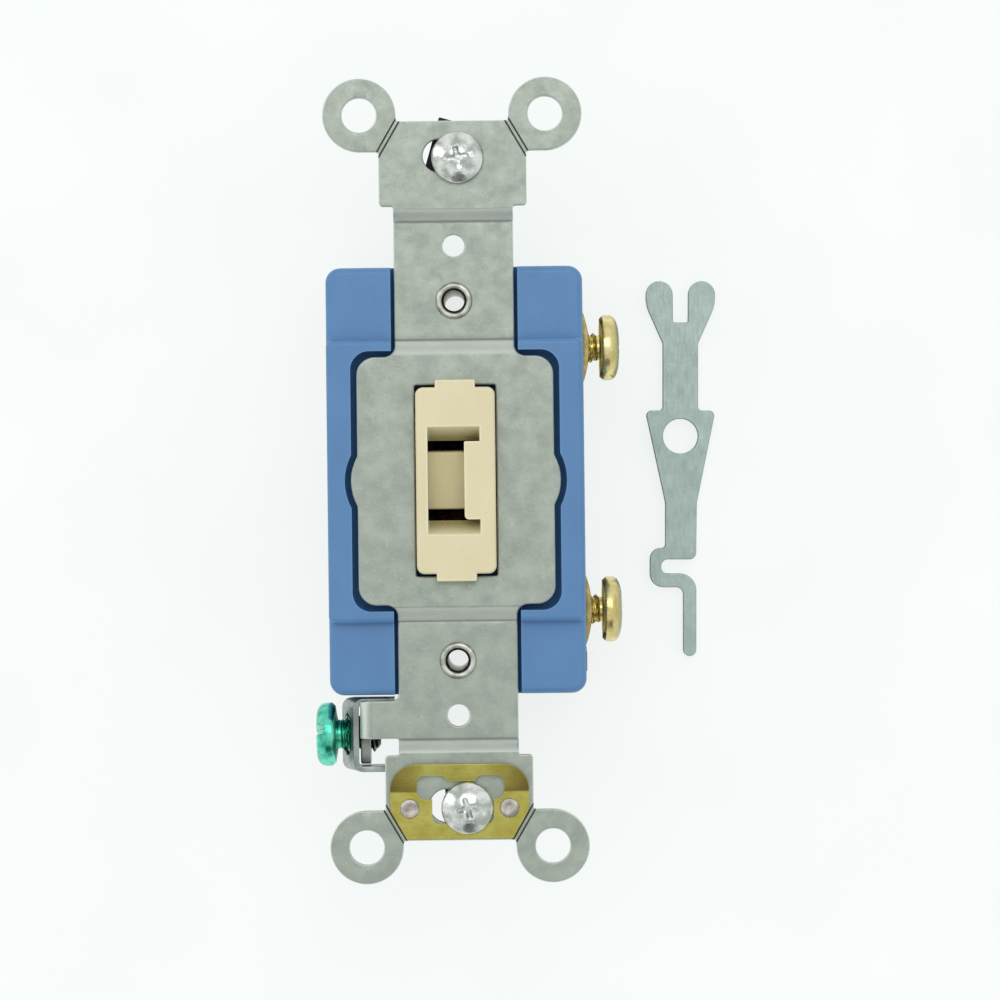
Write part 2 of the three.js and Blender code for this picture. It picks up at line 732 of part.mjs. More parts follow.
function makeClip() {
  const { half, top, crease, bottom, sheet, lift, rivetX, rivetY, rivetHole } = clip;
  const right = [[half - 2.1, bottom, 0.3], [half, bottom + 3.7, 0.3], [half, top, 3.4]];
  const low = strapTop + 0.03;
  const through = [low - 1, low + 5];
  // In (y, z): flat on the strap below the crease, rising above it.
  const rise = lift * 1.25;
  const under = [[bottom - 1, low], [crease, low], [top + 1, low + rise]];
  const over = under.map(([y, z]) => [y, z + sheet]).reverse();
  const creased = solid(barAlongX([...under, ...over], -12, 12));
  const footprint = solid(plate(outline([...right, ...mirrorX(right)]), ...through));
  const openings = [
    roundedBox(-3.5, 4.4, -44.0, -38.5, 0.9),
    roundedBox(-5.5, -1.5, -40.85, -37.75, 1.1),
    roundedBox(1.95, 5.75, -40.85, -37.75, 1.1),
    circle(rivetX, rivetY, rivetHole, 12),
    circle(-rivetX, rivetY, rivetHole, 12),
  ];
  return carve(geometryOf(creased.intersect(footprint)), {
    removed: openings.map((opening) => plate(opening, ...through)),
  });
}

piece('grounding_clip', makeClip(), brass);

for (const [name, sign] of [['left', -1], ['right', 1]]) {
  const headLow = strapTop + clip.sheet + 0.06;
  const profile = [
    [0, 26.35], [1.15, 26.45], [1.15, 26.85], [0.8, 26.85], [0.8, headLow],
    [clip.rivetHead, headLow], [clip.rivetHead - 0.15, headLow + 0.22], [0, headLow + 0.25],
  ];
  piece(`clip_rivet_${name}`, aboutZ(profile, 16), zinc).position.set(sign * clip.rivetX, clip.rivetY, 0);
}

// ---------------------------------------------------------------- captive mounting screws

/** A pan-head machine screw about Z, its head's underside at 0, with a slot and a cross in the head. */
function makeMountingScrew() {
  const { head, headTop, shank, length } = deviceScrew;
  const profile = [
    [0, -length], [shank - 0.5, -length], [shank, -length + 0.8], [shank, 0],
    [head - 0.25, 0], [head, 0.35], [head - 0.2, 0.9], [head - 0.9, 1.5], [head - 2, 1.85],
    [0, headTop],
  ];
  const slot = new THREE.BoxGeometry(2 * head + 1, 0.75, 1.4);
  const cross = new THREE.BoxGeometry(0.8, 3.2, 2.4);
  return carve(aboutZ(profile), {
    removed: [slot, cross].map((cutter) => cutter.translate(0, 0, headTop)),
  });
}

/** Right half of the fibre piece that keeps each mounting screw captive behind its slot. */
const retainers = {
  top: { right: [[1.3, -3.4], [3.7, -2.0], [3.7, 4.5]], turn: -16 },
  bottom: { right: [[1.9, -4.0], [2.7, -3.2], [2.7, 3.9]], turn: 4 },
};
const seats = { top: strapTop + 0.06, bottom: strapTop + clip.sheet + 0.1 };

for (const [name, [x, y]] of Object.entries(screwAt)) {
  const screw = piece(`mounting_screw_${name}`, makeMountingScrew(), zinc);
  screw.position.set(x, y, seats[name]);
  screw.rotation.z = degrees(screwTurn[name]);
  const { right, turn } = retainers[name];
  const hole = circle(0, 0, deviceScrew.shank + gap, 16);
  const shape = plate([...right, ...mirrorX(right)], -1.2, -0.35, [hole]).rotateZ(degrees(turn));
  piece(`screw_retainer_${name}`, shape, fibre).position.set(x, y, strap.wallPlane);
}

// ---------------------------------------------------------------- key

/** The flat key, drawn upright from its fork at the top: x across, y below the top. */
function makeKey() {
  const { lobe, forkHalf, slotHalf, hole, holeY, thickness } = key;
  // Down the right side from the fork's slot, round the hook's tip, and up the left side.
  const rightSide = [
    [slotHalf, 5.45, 0.25], [slotHalf, lobe], [forkHalf, lobe], [forkHalf, 3.2, 5],
    [2.36, 8.25, 1.2], [2.36, 17.1, 0.5], [4.55, 17.1, 0.7], [4.5, 17.9, 0.3],
    [2.2, 29.3, 3],
  ];
  const hook = [
    [2.1, 36.8, 0.9], [-2.5, 36.8, 0.85], [-2.5, 38.65, 0.8], [2.13, 38.65, 2.2],
    [2.13, 48.7], [0.35, 48.7], [0.35, 40.5, 0.9], [-4.05, 40.5, 1.8],
    [-4.05, 35.2, 1.45], [-2.02, 35.3, 0.5],
  ];
  const leftSide = [
    [-2.02, 29.3, 3], [-4.5, 17.9, 0.3], [-4.55, 17.1, 0.7], [-2.36, 17.1, 0.5],
    [-2.36, 8.25, 1.2], [-forkHalf, 3.2, 5], [-forkHalf, lobe], [-slotHalf, lobe],
    [-slotHalf, 5.45, 0.25],
  ];
  const corners = [...rightSide, ...hook, ...leftSide].map(([x, y, r]) => [x, -y, r]);
  const prongs = [1, -1].map((sign) => {
    return arc(sign * (forkHalf - lobe), -lobe - 0.01, lobe + 0.005, 0, Math.PI);
  });
  const tip = arc((2.13 + 0.35) / 2, -48.69, (2.13 - 0.35) / 2, Math.PI, 2 * Math.PI);
  return carve(plate(outline(corners), 0, thickness), {
    added: [...prongs, tip].map((shape) => plate(shape, 0, thickness)),
    removed: [plate(circle(0, holeY, hole), below, above)],
  });
}

const keyMesh = piece('key', makeKey(), steel);
keyMesh.position.set(key.x, key.top, 0);
keyMesh.rotation.z = degrees(key.turn);

export default object;
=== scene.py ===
"""The looks of a key-operated wall switch and its loose key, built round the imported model.

Shapes are drawn in millimetres in the frame of the part (+Z out of the face, +Y to the top,
origin at the centre of the back of the body) and scaled to metres when each piece is finished.
"""

import json
from math import acos, atan2, ceil, cos, degrees, exp, pi, radians, sin, sqrt, tan

import bmesh
import bpy
from mathutils import Matrix, Vector
from mathutils.geometry import tessellate_polygon


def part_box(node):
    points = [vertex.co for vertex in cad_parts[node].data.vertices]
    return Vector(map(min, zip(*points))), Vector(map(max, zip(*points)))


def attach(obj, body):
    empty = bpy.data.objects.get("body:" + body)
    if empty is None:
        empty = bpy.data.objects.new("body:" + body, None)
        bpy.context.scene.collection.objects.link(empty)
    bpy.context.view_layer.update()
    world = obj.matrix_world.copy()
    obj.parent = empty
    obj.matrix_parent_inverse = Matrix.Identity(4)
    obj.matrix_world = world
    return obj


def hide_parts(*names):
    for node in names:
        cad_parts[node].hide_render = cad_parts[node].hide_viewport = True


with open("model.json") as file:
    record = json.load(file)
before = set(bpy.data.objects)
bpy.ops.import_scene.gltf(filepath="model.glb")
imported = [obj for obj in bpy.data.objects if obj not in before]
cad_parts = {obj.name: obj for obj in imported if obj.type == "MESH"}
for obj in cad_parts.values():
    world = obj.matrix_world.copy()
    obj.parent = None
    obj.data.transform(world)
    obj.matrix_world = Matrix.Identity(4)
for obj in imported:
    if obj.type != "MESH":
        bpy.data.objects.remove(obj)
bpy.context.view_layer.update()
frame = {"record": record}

MM = 0.001
behaviour = frame["record"]["behaviour"]
body_of = {node: body for body, nodes in behaviour["bodies"].items() for node in nodes}


# -------- heights and places

ABOVE, BELOW = 40, -1  # clear of the object, for cutters that go right through
STRAP_LOW, STRAP_TOP = 26.9, 28.2  # the two faces of the strap's ends and centre plate
NECK_DROP = 1.6
NECK_LOW, NECK_TOP = STRAP_LOW - NECK_DROP, STRAP_TOP - NECK_DROP
NECK_HALF = 7.7
CENTRE_HALF = (12.65, 15.95)  # of the strap's centre plate
EAR = (11.93, 46.95)
EAR_RADIUS, EAR_HOLE = 4.72, 2.2
PLATE_SCREW_Y, PLATE_SCREW_HOLE = 30.16, 1.41
SLOT_Y, SLOT_CENTRE, SLOT_RADIUS = 41.67, 1.7, 2.1
MOUNTING_SCREW = {"top": (0.65, 41.37), "bottom": (1.0, -41.97)}
RIVET_Y, RIVET_BORE = 23.1, 2.05  # the body rivets and their way through the housing
CLIP_RIVET, CLIP_RIVET_HOLE = (6.4, -42.0), 1.1
SCREW_Z = 15.0
TERMINAL_Y = {"line": 17.1, "load": -16.9}
GROUND = (-32.6, 20.5)  # y and z of the ground screw's axis
GROUND_TAB_LEFT = -12.7
GROUND_TAB_Y = (-29.1, -36.4)
BODY_HALF = (16.5, 27.45)
PARTING = 15.5
LEVER_PIVOT = 23.4
LEVER_TILT = 8
ARM_PIVOT = 6.8
ARM_TILT = 6
CONTACT_Y = -11.0
TERMINAL_FOOT = (1.91, 3.09)  # heights of the strips that lie on the body's floor


# -------- outlines


def arc(cx, cy, radius, start, end, step=7.5):
    """Points of an arc, its angles in degrees; an end below the start runs clockwise."""
    count = max(2, ceil(abs(end - start) / step - 1e-9))
    angles = [radians(start + (end - start) * i / count) for i in range(count + 1)]
    return [(cx + radius * cos(a), cy + radius * sin(a)) for a in angles]


def circle(cx, cy, radius, count=64):
    return arc(cx, cy, radius, 0, 360, 360 / count)[:-1]


def outline(corners, step=7.5):
    """A closed outline through (x, y, radius) corners, each rounded by its radius."""
    points = []
    for i, (x, y, *rest) in enumerate(corners):
        radius = rest[0] if rest else 0
        if not radius:
            points.append((x, y))
            continue
        here = Vector((x, y))
        before = (Vector(corners[i - 1][:2]) - here).normalized()
        after = (Vector(corners[(i + 1) % len(corners)][:2]) - here).normalized()
        half = acos(max(-1, min(1, before.dot(after)))) / 2
        centre = here + (before + after).normalized() * (radius / sin(half))
        first = here + before * (radius / tan(half)) - centre
        start = degrees(atan2(first.y, first.x))
        turn = 180 - 2 * degrees(half)
        sign = 1 if before.x * after.y - before.y * after.x < 0 else -1
        points += arc(centre.x, centre.y, radius, start, start + sign * turn, step)
    return points


def rounded_box(x0, x1, y0, y1, radius, step=7.5):
    return outline([(x0, y0, radius), (x1, y0, radius), (x1, y1, radius), (x0, y1, radius)], step)


def centred_box(half_x, half_y, radius, step=7.5):
    return rounded_box(-half_x, half_x, -half_y, half_y, radius, step)


def mirror_x(points):
    return [(-p[0], *p[1:]) for p in reversed(points)]


def mirror_y(points):
    return [(p[0], -p[1], *p[2:]) for p in reversed(points)]


def both_sides(right):
    """A closed outline through corners given for the right side only, bottom to top."""
    return outline(right + mirror_x(right))


def on_side(sign, near, far):
    """The range near..far on the positive or the negative side, lower end first."""
    return sorted((sign * near, sign * far))


def area(loop):
    return sum(a[0] * b[1] - b[0] * a[1] for a, b in zip(loop, loop[1:] + loop[:1])) / 2


# -------- meshes


def configure(made, settings):
    for key, value in settings.items():
        setattr(made, key, value)
    return made


def add_object(name, data):
    made = bpy.data.objects.new(name, data)
    bpy.context.scene.collection.objects.link(made)
    return made


def new_object(name, points, faces):
    mesh = bpy.data.meshes.new(name)
    mesh.from_pydata([tuple(p) for p in points], [], faces)
    mesh.update()
    return add_object(name, mesh)


def baked_mesh(target):
    """The mesh that an object's curve or modifiers make."""
    graph = bpy.context.evaluated_depsgraph_get()
    return bpy.data.meshes.new_from_object(target.evaluated_get(graph))


def bake(target):
    """Replaces an object's mesh by what its modifiers make of it."""
    mesh = baked_mesh(target)
    target.modifiers.clear()
    target.data = mesh
    return target


def edit(target, change):
    """Runs change(bm) on an object's mesh."""
    bm = bmesh.new()
    bm.from_mesh(target.data)
    change(bm)
    bm.to_mesh(target.data)
    bm.free()
    return target


def tidy_faces(bm):
    """Joins triangles that lie in one plane and turns every face outwards."""
    angle = radians(0.1)
    bmesh.ops.dissolve_limit(bm, angle_limit=angle, verts=[], edges=bm.edges)
    bmesh.ops.recalc_face_normals(bm, faces=bm.faces)


def inset_steps(loop):
    """For each point of a loop, how far it moves when the edge moves in by one."""
    steps = []
    for i, point in enumerate(loop):
        here = Vector(point)
        into = (here - Vector(loop[i - 1])).normalized()
        out = (Vector(loop[(i + 1) % len(loop)]) - here).normalized()
        left_in, left_out = Vector((-into.y, into.x)), Vector((-out.y, out.x))
        steps.append((left_in + left_out) / (1 + left_in.dot(left_out)))
    return steps


def plate(outer, holes, profile):
    """A closed solid: loops drawn in (x, y), and (inset, z) rows from the bottom up."""
    loops = [outer if area(outer) > 0 else outer[::-1]]
    loops += [hole if area(hole) < 0 else hole[::-1] for hole in holes]
    steps = [inset_steps(loop) for loop in loops]
    points, faces = [], []
    count = sum(len(loop) for loop in loops)
    for inset, z in profile:
        for loop, moves in zip(loops, steps):
            points += [(x + m.x * inset, y + m.y * inset, z) for (x, y), m in zip(loop, moves)]
    for row in range(len(profile) - 1):
        start = row * count
        for loop in loops:
            ring = range(start, start + len(loop))
            for a, b in zip(ring, [*ring[1:], ring[0]]):
                faces.append((a, b, b + count, a + count))
            start += len(loop)
    for row, flip in ((0, True), (len(profile) - 1, False)):
        start = row * count
        rings, at = [], start
        for loop in loops:
            rings.append([Vector(p) for p in points[at:at + len(loop)]])
            at += len(loop)
        for a, b, c in tessellate_polygon(rings):
            face = (start + a, start + b, start + c)
            faces.append(face[::-1] if flip else face)
    made = new_object("plate", points, faces)
    return edit(made, tidy_faces)


def rounding(low, high, under=0.1, over=0.2, count=4):
    """Rows of a plate whose lower and upper rims are rounded by `under` and `over`."""
    angles = [radians(90 * i / count) for i in range(count + 1)]
    lower = [(under * (1 - sin(a)), low + under * (1 - cos(a))) for a in angles]
    upper = [(over * (1 - cos(a)), high - over * (1 - sin(a))) for a in angles]
    return (lower if under else [(0, low)]) + (upper if over else [(0, high)])


def slab(outer, low, high, holes=(), under=0.1, over=0.2, count=4):
    return plate(outer, list(holes), rounding(low, high, under, over, count))


def prism(outer, low, high, holes=()):
    """A slab with sharp rims."""
    return slab(outer, low, high, holes, under=0, over=0)


def rod(x, y, radius, low, high, count=40):
    return prism(circle(x, y, radius, count), low, high)


def box(x0, x1, y0, y1, z0, z1, edge=0.0):
    corners = [(x0, y0), (x1, y0), (x1, y1), (x0, y1)]
    return slab(corners, z0, z1, under=edge, over=edge, count=2)


def along_x(made):
    """Turns a solid drawn in (y, z) and raised along x into place."""
    made.data.transform(Matrix(((0, 0, 1, 0), (1, 0, 0, 0), (0, 1, 0, 0), (0, 0, 0, 1))))
    return made


def along_y(made):
    """Turns a solid drawn in (z, x) and raised along y into place."""
    made.data.transform(Matrix(((0, 1, 0, 0), (0, 0, 1, 0), (1, 0, 0, 0), (0, 0, 0, 1))))
    return made


def moved(made, x=0.0, y=0.0, z=0.0, turn=0.0, axis="Z"):
    made.data.transform(Matrix.Translation((x, y, z)) @ Matrix.Rotation(radians(turn), 4, axis))
    return made


def revolve(rows, count=48, radius_at=None):
    """A closed turned solid about Z through (radius, z) rows; both ends lie on the axis."""
    points = [(0, 0, rows[0][1])]
    faces = []
    inner = rows[1:-1]
    for radius, z in inner:
        for i in range(count):
            a = 2 * pi * i / count
            r = radius_at(radius, z, a) if radius_at else radius
            points.append((r * cos(a), r * sin(a), z))
    last = len(points)
    points.append((0, 0, rows[-1][1]))
    for i in range(count):
        j = (i + 1) % count
        faces.append((0, 1 + j, 1 + i))
        top = 1 + (len(inner) - 1) * count
        faces.append((last, top + i, top + j))
        for row in range(len(inner) - 1):
            start = 1 + row * count
            faces.append((start + i, start + j, start + count + j, start + count + i))
    return new_object("turned", points, faces)


def revolve_ring(rows, count):
    """A closed turned ring about Z through (radius, z) rows that close on themselves."""
    points = [
        (r * cos(2 * pi * i / count), r * sin(2 * pi * i / count), z)
        for r, z in rows
        for i in range(count)
    ]
    faces = []
    for row in range(len(rows)):
        start, above = row * count, (row + 1) % len(rows) * count
        for i in range(count):
            j = (i + 1) % count
            faces.append((start + i, start + j, above + j, above + i))
    made = new_object("ring", points, faces)
    return edit(made, lambda bm: bmesh.ops.recalc_face_normals(bm, faces=bm.faces))


def modify(target, kind, **settings):
    configure(target.modifiers.new(kind.lower(), kind), settings)


def combine(target, tools, operation):
    """Adds or cuts several solids, and clears them away."""
    for tool in tools:
        modify(target, "BOOLEAN", operation=operation, solver="EXACT", object=tool)
    bake(target)
    for tool in tools:
        bpy.data.objects.remove(tool)
    return target


def cut(target, *tools):
    return combine(target, tools, "DIFFERENCE")


def join(target, *tools):
    return combine(target, tools, "UNION")


def soften(target, width, segments, angle=40):
    """Rounds the edges sharper than `angle` degrees that cutting left."""
    edit(target, lambda bm: bmesh.ops.dissolve_limit(
        bm, angle_limit=radians(0.5), verts=bm.verts, edges=bm.edges))
    modify(target, "BEVEL", width=width, segments=segments, limit_method="ANGLE",
           angle_limit=radians(angle), use_clamp_overlap=True, miter_outer="MITER_ARC")
    return bake(target)


def slice_at(target, axis, places):
    """Adds edge lines across a mesh where it will bend."""
    normal = Vector((0, 0, 0))
    normal[axis] = 1

    def change(bm):
        for place in places:
            everything = bm.verts[:] + bm.edges[:] + bm.faces[:]
            bmesh.ops.bisect_plane(bm, geom=everything, plane_co=normal * place, plane_no=normal)

    return edit(target, change)


def bend(target, place):
    """Moves every point of a mesh to place(x, y, z)."""
    for vertex in target.data.vertices:
        vertex.co = place(*vertex.co)
    target.data.update()
    return target


def spread(low, high, count):
    return [low + (high - low) * i / count for i in range(count + 1)]


def smooth_step(value):
    t = max(0.0, min(1.0, value))
    return t * t * (3 - 2 * t)


def straight_step(value):
    """A step from 0 to 1 that is straight in its middle and eased at both ends."""
    t = max(0.0, min(1.0, value))
    return 0.6 * t + 0.4 * smooth_step(t)


def piece(name, made, node, material, smooth=35):
    """Scales a finished shape to metres, gives it its finish, and puts it on its body."""
    made.name = name
    made.data.name = name
    made.data.transform(Matrix.Scale(MM, 4))
    made.data.polygons.foreach_set("use_smooth", [True] * len(made.data.polygons))
    made.data.set_sharp_from_angle(angle=radians(smooth))
    modify(made, "WEIGHTED_NORMAL", keep_sharp=True)
    made.data.materials.clear()
    made.data.materials.append(material)
    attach(made, body_of[node])
    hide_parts(node)


# -------- materials


def linear(srgb):
    """A colour measured as 0-255 sRGB, in the linear values a shader takes."""
    values = [v / 255 for v in srgb]
    return [v / 12.92 if v <= 0.04045 else ((v + 0.055) / 1.055) ** 2.4 for v in values] + [1]


def scaled(srgb, factor, lift=0.0):
    """A colour made brighter or darker in linear values, and no brighter than white."""
    return [min(1.0, c * factor + lift) for c in linear(srgb)[:3]] + [1]


class Nodes:
    """A small helper that adds and links shader nodes."""

    def __init__(self, tree):
        self.tree = tree

    def add(self, kind, **settings):
        return configure(self.tree.nodes.new(kind), settings)

    def link(self, source, target):
        """Feeds an input from an output, a number, an sRGB tuple or a list of linear values."""
        if isinstance(source, tuple):
            source = linear(source)
        if isinstance(source, (list, float)):
            target.default_value = source
        else:
            self.tree.links.new(source, target)

    def maths(self, operation, *values):
        node = self.add("ShaderNodeMath", operation=operation)
        for value, place in zip(values, node.inputs):
            self.link(value, place)
        return node.outputs[0]

    def spread(self, source, low, high, to_low=0.0, to_high=1.0, **settings):
        """Maps low..high of a value onto to_low..to_high."""
        node = self.add("ShaderNodeMapRange", **settings)
        self.link(source, node.inputs["Value"])
        limits = {"From Min": low, "From Max": high, "To Min": to_low, "To Max": to_high}
        for name, value in limits.items():
            node.inputs[name].default_value = value
        return node.outputs["Result"]


class Look(Nodes):
    """The nodes of one material."""

    def __init__(self, name):
        self.material = bpy.data.materials.new(name)
        self.material.use_nodes = True
        super().__init__(self.material.node_tree)
        self.tree.nodes.clear()
        output = self.add("ShaderNodeOutputMaterial")
        self.shader = self.add("ShaderNodeBsdfPrincipled")
        self.link(self.shader.outputs[0], output.inputs["Surface"])
        self.place = self.add("ShaderNodeTexCoord").outputs["Object"]

    def noise(self, size, stretch=(1, 1, 1), detail=3.0, seed=0.0):
        """Noise whose features are about `size` millimetres across, 0 to 1."""
        mapping = self.add("ShaderNodeMapping")
        mapping.inputs["Scale"].default_value = stretch
        mapping.inputs["Location"].default_value = (seed, seed * 0.7, seed * 0.3)
        self.link(self.place, mapping.inputs["Vector"])
        noise = self.add("ShaderNodeTexNoise")
        noise.inputs["Scale"].default_value = 1 / (size * MM)
        noise.inputs["Detail"].default_value = detail
        self.link(mapping.outputs[0], noise.inputs["Vector"])
        return noise.outputs["Fac"]

    def edge(self, reach, most):
        """`most` right on an edge, falling to 0 about `reach` millimetres away from it."""
        rounded = self.add("ShaderNodeBevel", samples=6)
        rounded.inputs["Radius"].default_value = reach * MM
        dot = self.add("ShaderNodeVectorMath", operation="DOT_PRODUCT")
        self.link(rounded.outputs[0], dot.inputs[0])
        self.link(self.add("ShaderNodeNewGeometry").outputs["Normal"], dot.inputs[1])
        return self.spread(dot.outputs["Value"], 1.0, 0.86, 0, most)

    def crease_shade(self, reach):
        """0 in the open, 0.62 down in a groove or crease of the piece itself: a mask for painted
        shade.
        """
        shelter = self.add("ShaderNodeAmbientOcclusion", samples=8, only_local=True)
        shelter.inputs["Distance"].default_value = reach * MM
        return self.spread(shelter.outputs["AO"], 0.94, 0.7, 0, 0.62)

    def part_of(self, source, axis):
        split = self.add("ShaderNodeSeparateXYZ")
        self.link(source, split.inputs[0])
        return split.outputs[axis]

    def size_of(self, source):
        return self.maths("ABSOLUTE", source)

    def between(self, axis, start, end):
        """0 up to `start` and 1 from `end`, measured in millimetres along an axis."""
        return self.spread(self.part_of(self.place, axis), start * MM, end * MM)

    def steepness(self, most):
        """0 where the surface faces straight up or down, `most` from a slope of 39 degrees."""
        normal = self.add("ShaderNodeNewGeometry").outputs["Normal"]
        return self.spread(self.size_of(self.part_of(normal, "Z")), 0.97, 0.78, 0, most)

    def mix(self, factor, first, second):
        node = self.add("ShaderNodeMix", data_type="RGBA")
        for place, value in ((0, factor), (6, first), (7, second)):
            self.link(value, node.inputs[place])
        return node.outputs[2]

    def bump(self, source, height, strength, under=None):
        """A normal that raises a 0-1 value by `height` millimetres, on top of `under`."""
        node = self.add("ShaderNodeBump")
        node.inputs["Distance"].default_value = height * MM
        node.inputs["Strength"].default_value = strength
        self.link(source, node.inputs["Height"])
        if under is not None:
            self.link(under, node.inputs["Normal"])
        return node.outputs["Normal"]

    def finish(self, colour, roughness, metallic=0.0, normal=None, **more):
        inputs = self.shader.inputs
        for name, value in (("Base Color", colour), ("Roughness", roughness), ("Normal", normal)):
            if value is not None:
                self.link(value, inputs[name])
        inputs["Metallic"].default_value = metallic
        for name, value in more.items():
            inputs[name.replace("_", " ")].default_value = value
        return self.material


SLOPE_HIGHLIGHT_STEEL = [0.85, 0.88, 0.84, 1]


def sheet_steel(name, light, dark, roughness=(0.34, 0.52), grain=(1, 1, 1), metallic=0.85,
                slope_highlight=0.0, tinted_patch=None):
    """Rolled and plated sheet: soft blotches, a fine grain, small pits, a painted highlight on its
    edges and painted shade in its creases.

    `slope_highlight` is how much brighter the slopes are painted, a painted highlight;
    `tinted_patch` is a colour and the mask it is mixed in over.
    """
    n = Look(name)
    blotch = n.spread(n.noise(2.6, detail=6), 0.36, 0.64)
    colour = n.mix(blotch, light, dark)
    pale = scaled(light, 1.3)
    speck = n.spread(n.noise(0.35, detail=2, seed=3.1), 0.6, 0.74, 0, 0.4)
    colour = n.mix(speck, colour, pale)
    pits = n.spread(n.noise(0.28, stretch=grain, detail=3, seed=8.3), 0.38, 0.28, 0, 0.55)
    colour = n.mix(pits, colour, scaled(dark, 0.72))
    # Painted highlight along the rounded edges.
    colour = n.mix(n.edge(0.2, 0.8), colour, pale)
    # A colour mixed in over a mask; on the strap this is painted shade.
    if tinted_patch:
        tint, cover = tinted_patch
        colour = n.mix(cover(n), colour, tint)
    # Painted highlight: the slopes are painted brighter.
    if slope_highlight:
        colour = n.mix(n.steepness(slope_highlight), colour, SLOPE_HIGHLIGHT_STEEL)
    # Painted shade in the piece's own grooves and creases.
    colour = n.mix(n.crease_shade(0.9), colour, scaled(dark, 0.3))
    rough = n.spread(n.noise(1.2, stretch=grain, detail=3, seed=5.0), 0.3, 0.7, *roughness)
    normal = n.bump(n.noise(0.35, stretch=grain, detail=4, seed=1.3), 0.02, 0.4)
    normal = n.bump(n.noise(2.2, detail=3, seed=7.7), 0.05, 0.25, under=normal)
    return n.finish(colour, rough, metallic, normal)


def plated(name, light, dark, roughness=(0.16, 0.3), dents=0.05, painted_shade=None):
    """Plated turned metal: tarnish in patches and fine tool marks.

    `painted_shade` is a darker colour painted in along X as shade, and the two places where it
    starts and ends.
    """
    n = Look(name)
    patch = n.spread(n.noise(1.4, detail=5), 0.38, 0.62)
    colour = n.mix(patch, light, dark)
    # Painted shade, growing darker along X.
    if painted_shade:
        tint, shade_start, shade_full = painted_shade
        colour = n.mix(n.between("X", shade_start, shade_full), colour, tint)
    rough = n.spread(n.noise(0.8, detail=3, seed=2.0), 0.3, 0.7, *roughness)
    normal = n.bump(n.noise(0.6, detail=4, seed=4.4), dents, 0.5)
    return n.finish(colour, rough, 1.0, normal)


def flow_marks(n, colour, shade):
    """The faint marks that plastic leaves as it flows into the mould."""
    return n.mix(n.spread(n.noise(4.0, stretch=(1, 0.5, 1)), 0.3, 0.7), colour, shade)


def orange_peel(n, colour, roughness):
    """Finishes a plastic with its fine uneven surface."""
    rough = n.spread(n.noise(1.5, detail=2, seed=6.0), 0.3, 0.7, *roughness)
    normal = n.bump(n.noise(0.3, detail=3, seed=9.0), 0.012, 0.5)
    return n.finish(colour, rough, 0.0, normal)


def moulded(name, colour, shade, roughness=(0.3, 0.42), painted_shade=None, rim=None):
    """Moulded plastic with faint specks.

    `painted_shade` is a darker colour painted in below a height as shade, and the two heights
    where it starts and ends; `rim` is the colour of a painted highlight along the edges.
    """
    n = Look(name)
    speck = n.spread(n.noise(0.25, detail=2, seed=2.6), 0.66, 0.8, 0, 0.1)
    mixed = n.mix(speck, flow_marks(n, colour, shade), scaled(colour, 1.5, 0.01))
    # Painted shade, darker below a height.
    if painted_shade:
        tint, shade_start, shade_full = painted_shade
        mixed = n.mix(n.between("Z", shade_start, shade_full), mixed, tint)
    # Painted highlight on the rounded edges.
    if rim:
        mixed = n.mix(n.edge(0.5, 0.8), mixed, rim)
    return orange_peel(n, mixed, roughness)


def cover_plastic(name, colour, shade, gap_shade_colour):
    """The cover's plastic, with painted shade (darker and duller) down in the gaps round the strap
    and the lock face, and a painted highlight on its rounded edges.
    """
    n = Look(name)
    # Painted shade down in the gaps: darker and less shiny.
    low = n.between("Z", 26.5, 25.9)
    inside = n.spread(n.size_of(n.part_of(n.place, "X")), 14.6 * MM, 14.3 * MM)
    gap = n.maths("MULTIPLY", low, inside)
    mixed = n.mix(gap, flow_marks(n, colour, shade), gap_shade_colour)
    n.link(n.spread(gap, 0, 1, 0.5, 0.08), n.shader.inputs["Specular IOR Level"])
    # Painted highlight on the rounded edges.
    mixed = n.mix(n.edge(0.5, 0.35), mixed, scaled(colour, 1.35, 0.02))
    return orange_peel(n, mixed, (0.32, 0.44))


def soft_matte(name, colour, shade, fibre=(1, 1, 1)):
    """Fibre board or rubber: dull, with a visible fibre or grain."""
    n = Look(name)
    mixed = n.mix(n.spread(n.noise(0.6, stretch=fibre, detail=5), 0.35, 0.65), colour, shade)
    normal = n.bump(n.noise(0.25, stretch=fibre, detail=4, seed=3.0), 0.03, 0.6)
    return n.finish(mixed, 0.8, 0.0, normal)


def below_bend(n):
    """The part of the ground tab that hangs down out of the light, which gets painted shade."""
    return n.between("Z", 24.4, 22.5)


def lip_corners(n):
    """The two ends of the clip's raised lip."""
    sides = n.spread(n.size_of(n.part_of(n.place, "X")), 4.2 * MM, 8.6 * MM, 0, 0.85)
    return n.maths("MULTIPLY", sides, n.between("Y", -39.95, -39.8))


# The strap: a painted highlight on its slopes and painted shade on its bent-down ground tab.
strap_steel = sheet_steel("strap_steel", (164, 172, 162), (150, 158, 149),
                          slope_highlight=0.7, tinted_patch=((112, 116, 112), below_bend))
bracket_steel = sheet_steel("bracket_steel", (166, 174, 170), (126, 134, 131),
                            roughness=(0.25, 0.42), grain=(1, 3, 1))
key_steel = sheet_steel("key_steel", (168, 184, 178), (158, 173, 167),
                        roughness=(0.38, 0.55), grain=(4, 0.6, 1))
rivet_steel = plated("rivet_steel", (200, 202, 192), (150, 152, 140), (0.25, 0.4))
clip_rivet_steel = plated("clip_rivet_steel", (196, 190, 182), (140, 134, 130),
                          (0.4, 0.55), dents=0.2)
bright_zinc = plated("bright_zinc", (232, 235, 230), (176, 181, 176), (0.08, 0.2), dents=0.09)
spring_steel = plated("spring_steel", (170, 172, 172), (140, 142, 142))
# The brass heads' outer faces get painted shade.
terminal_brass = plated("terminal_brass", (234, 221, 160), (211, 192, 128),
                        painted_shade=((166, 158, 106), 20.3, 21.0))
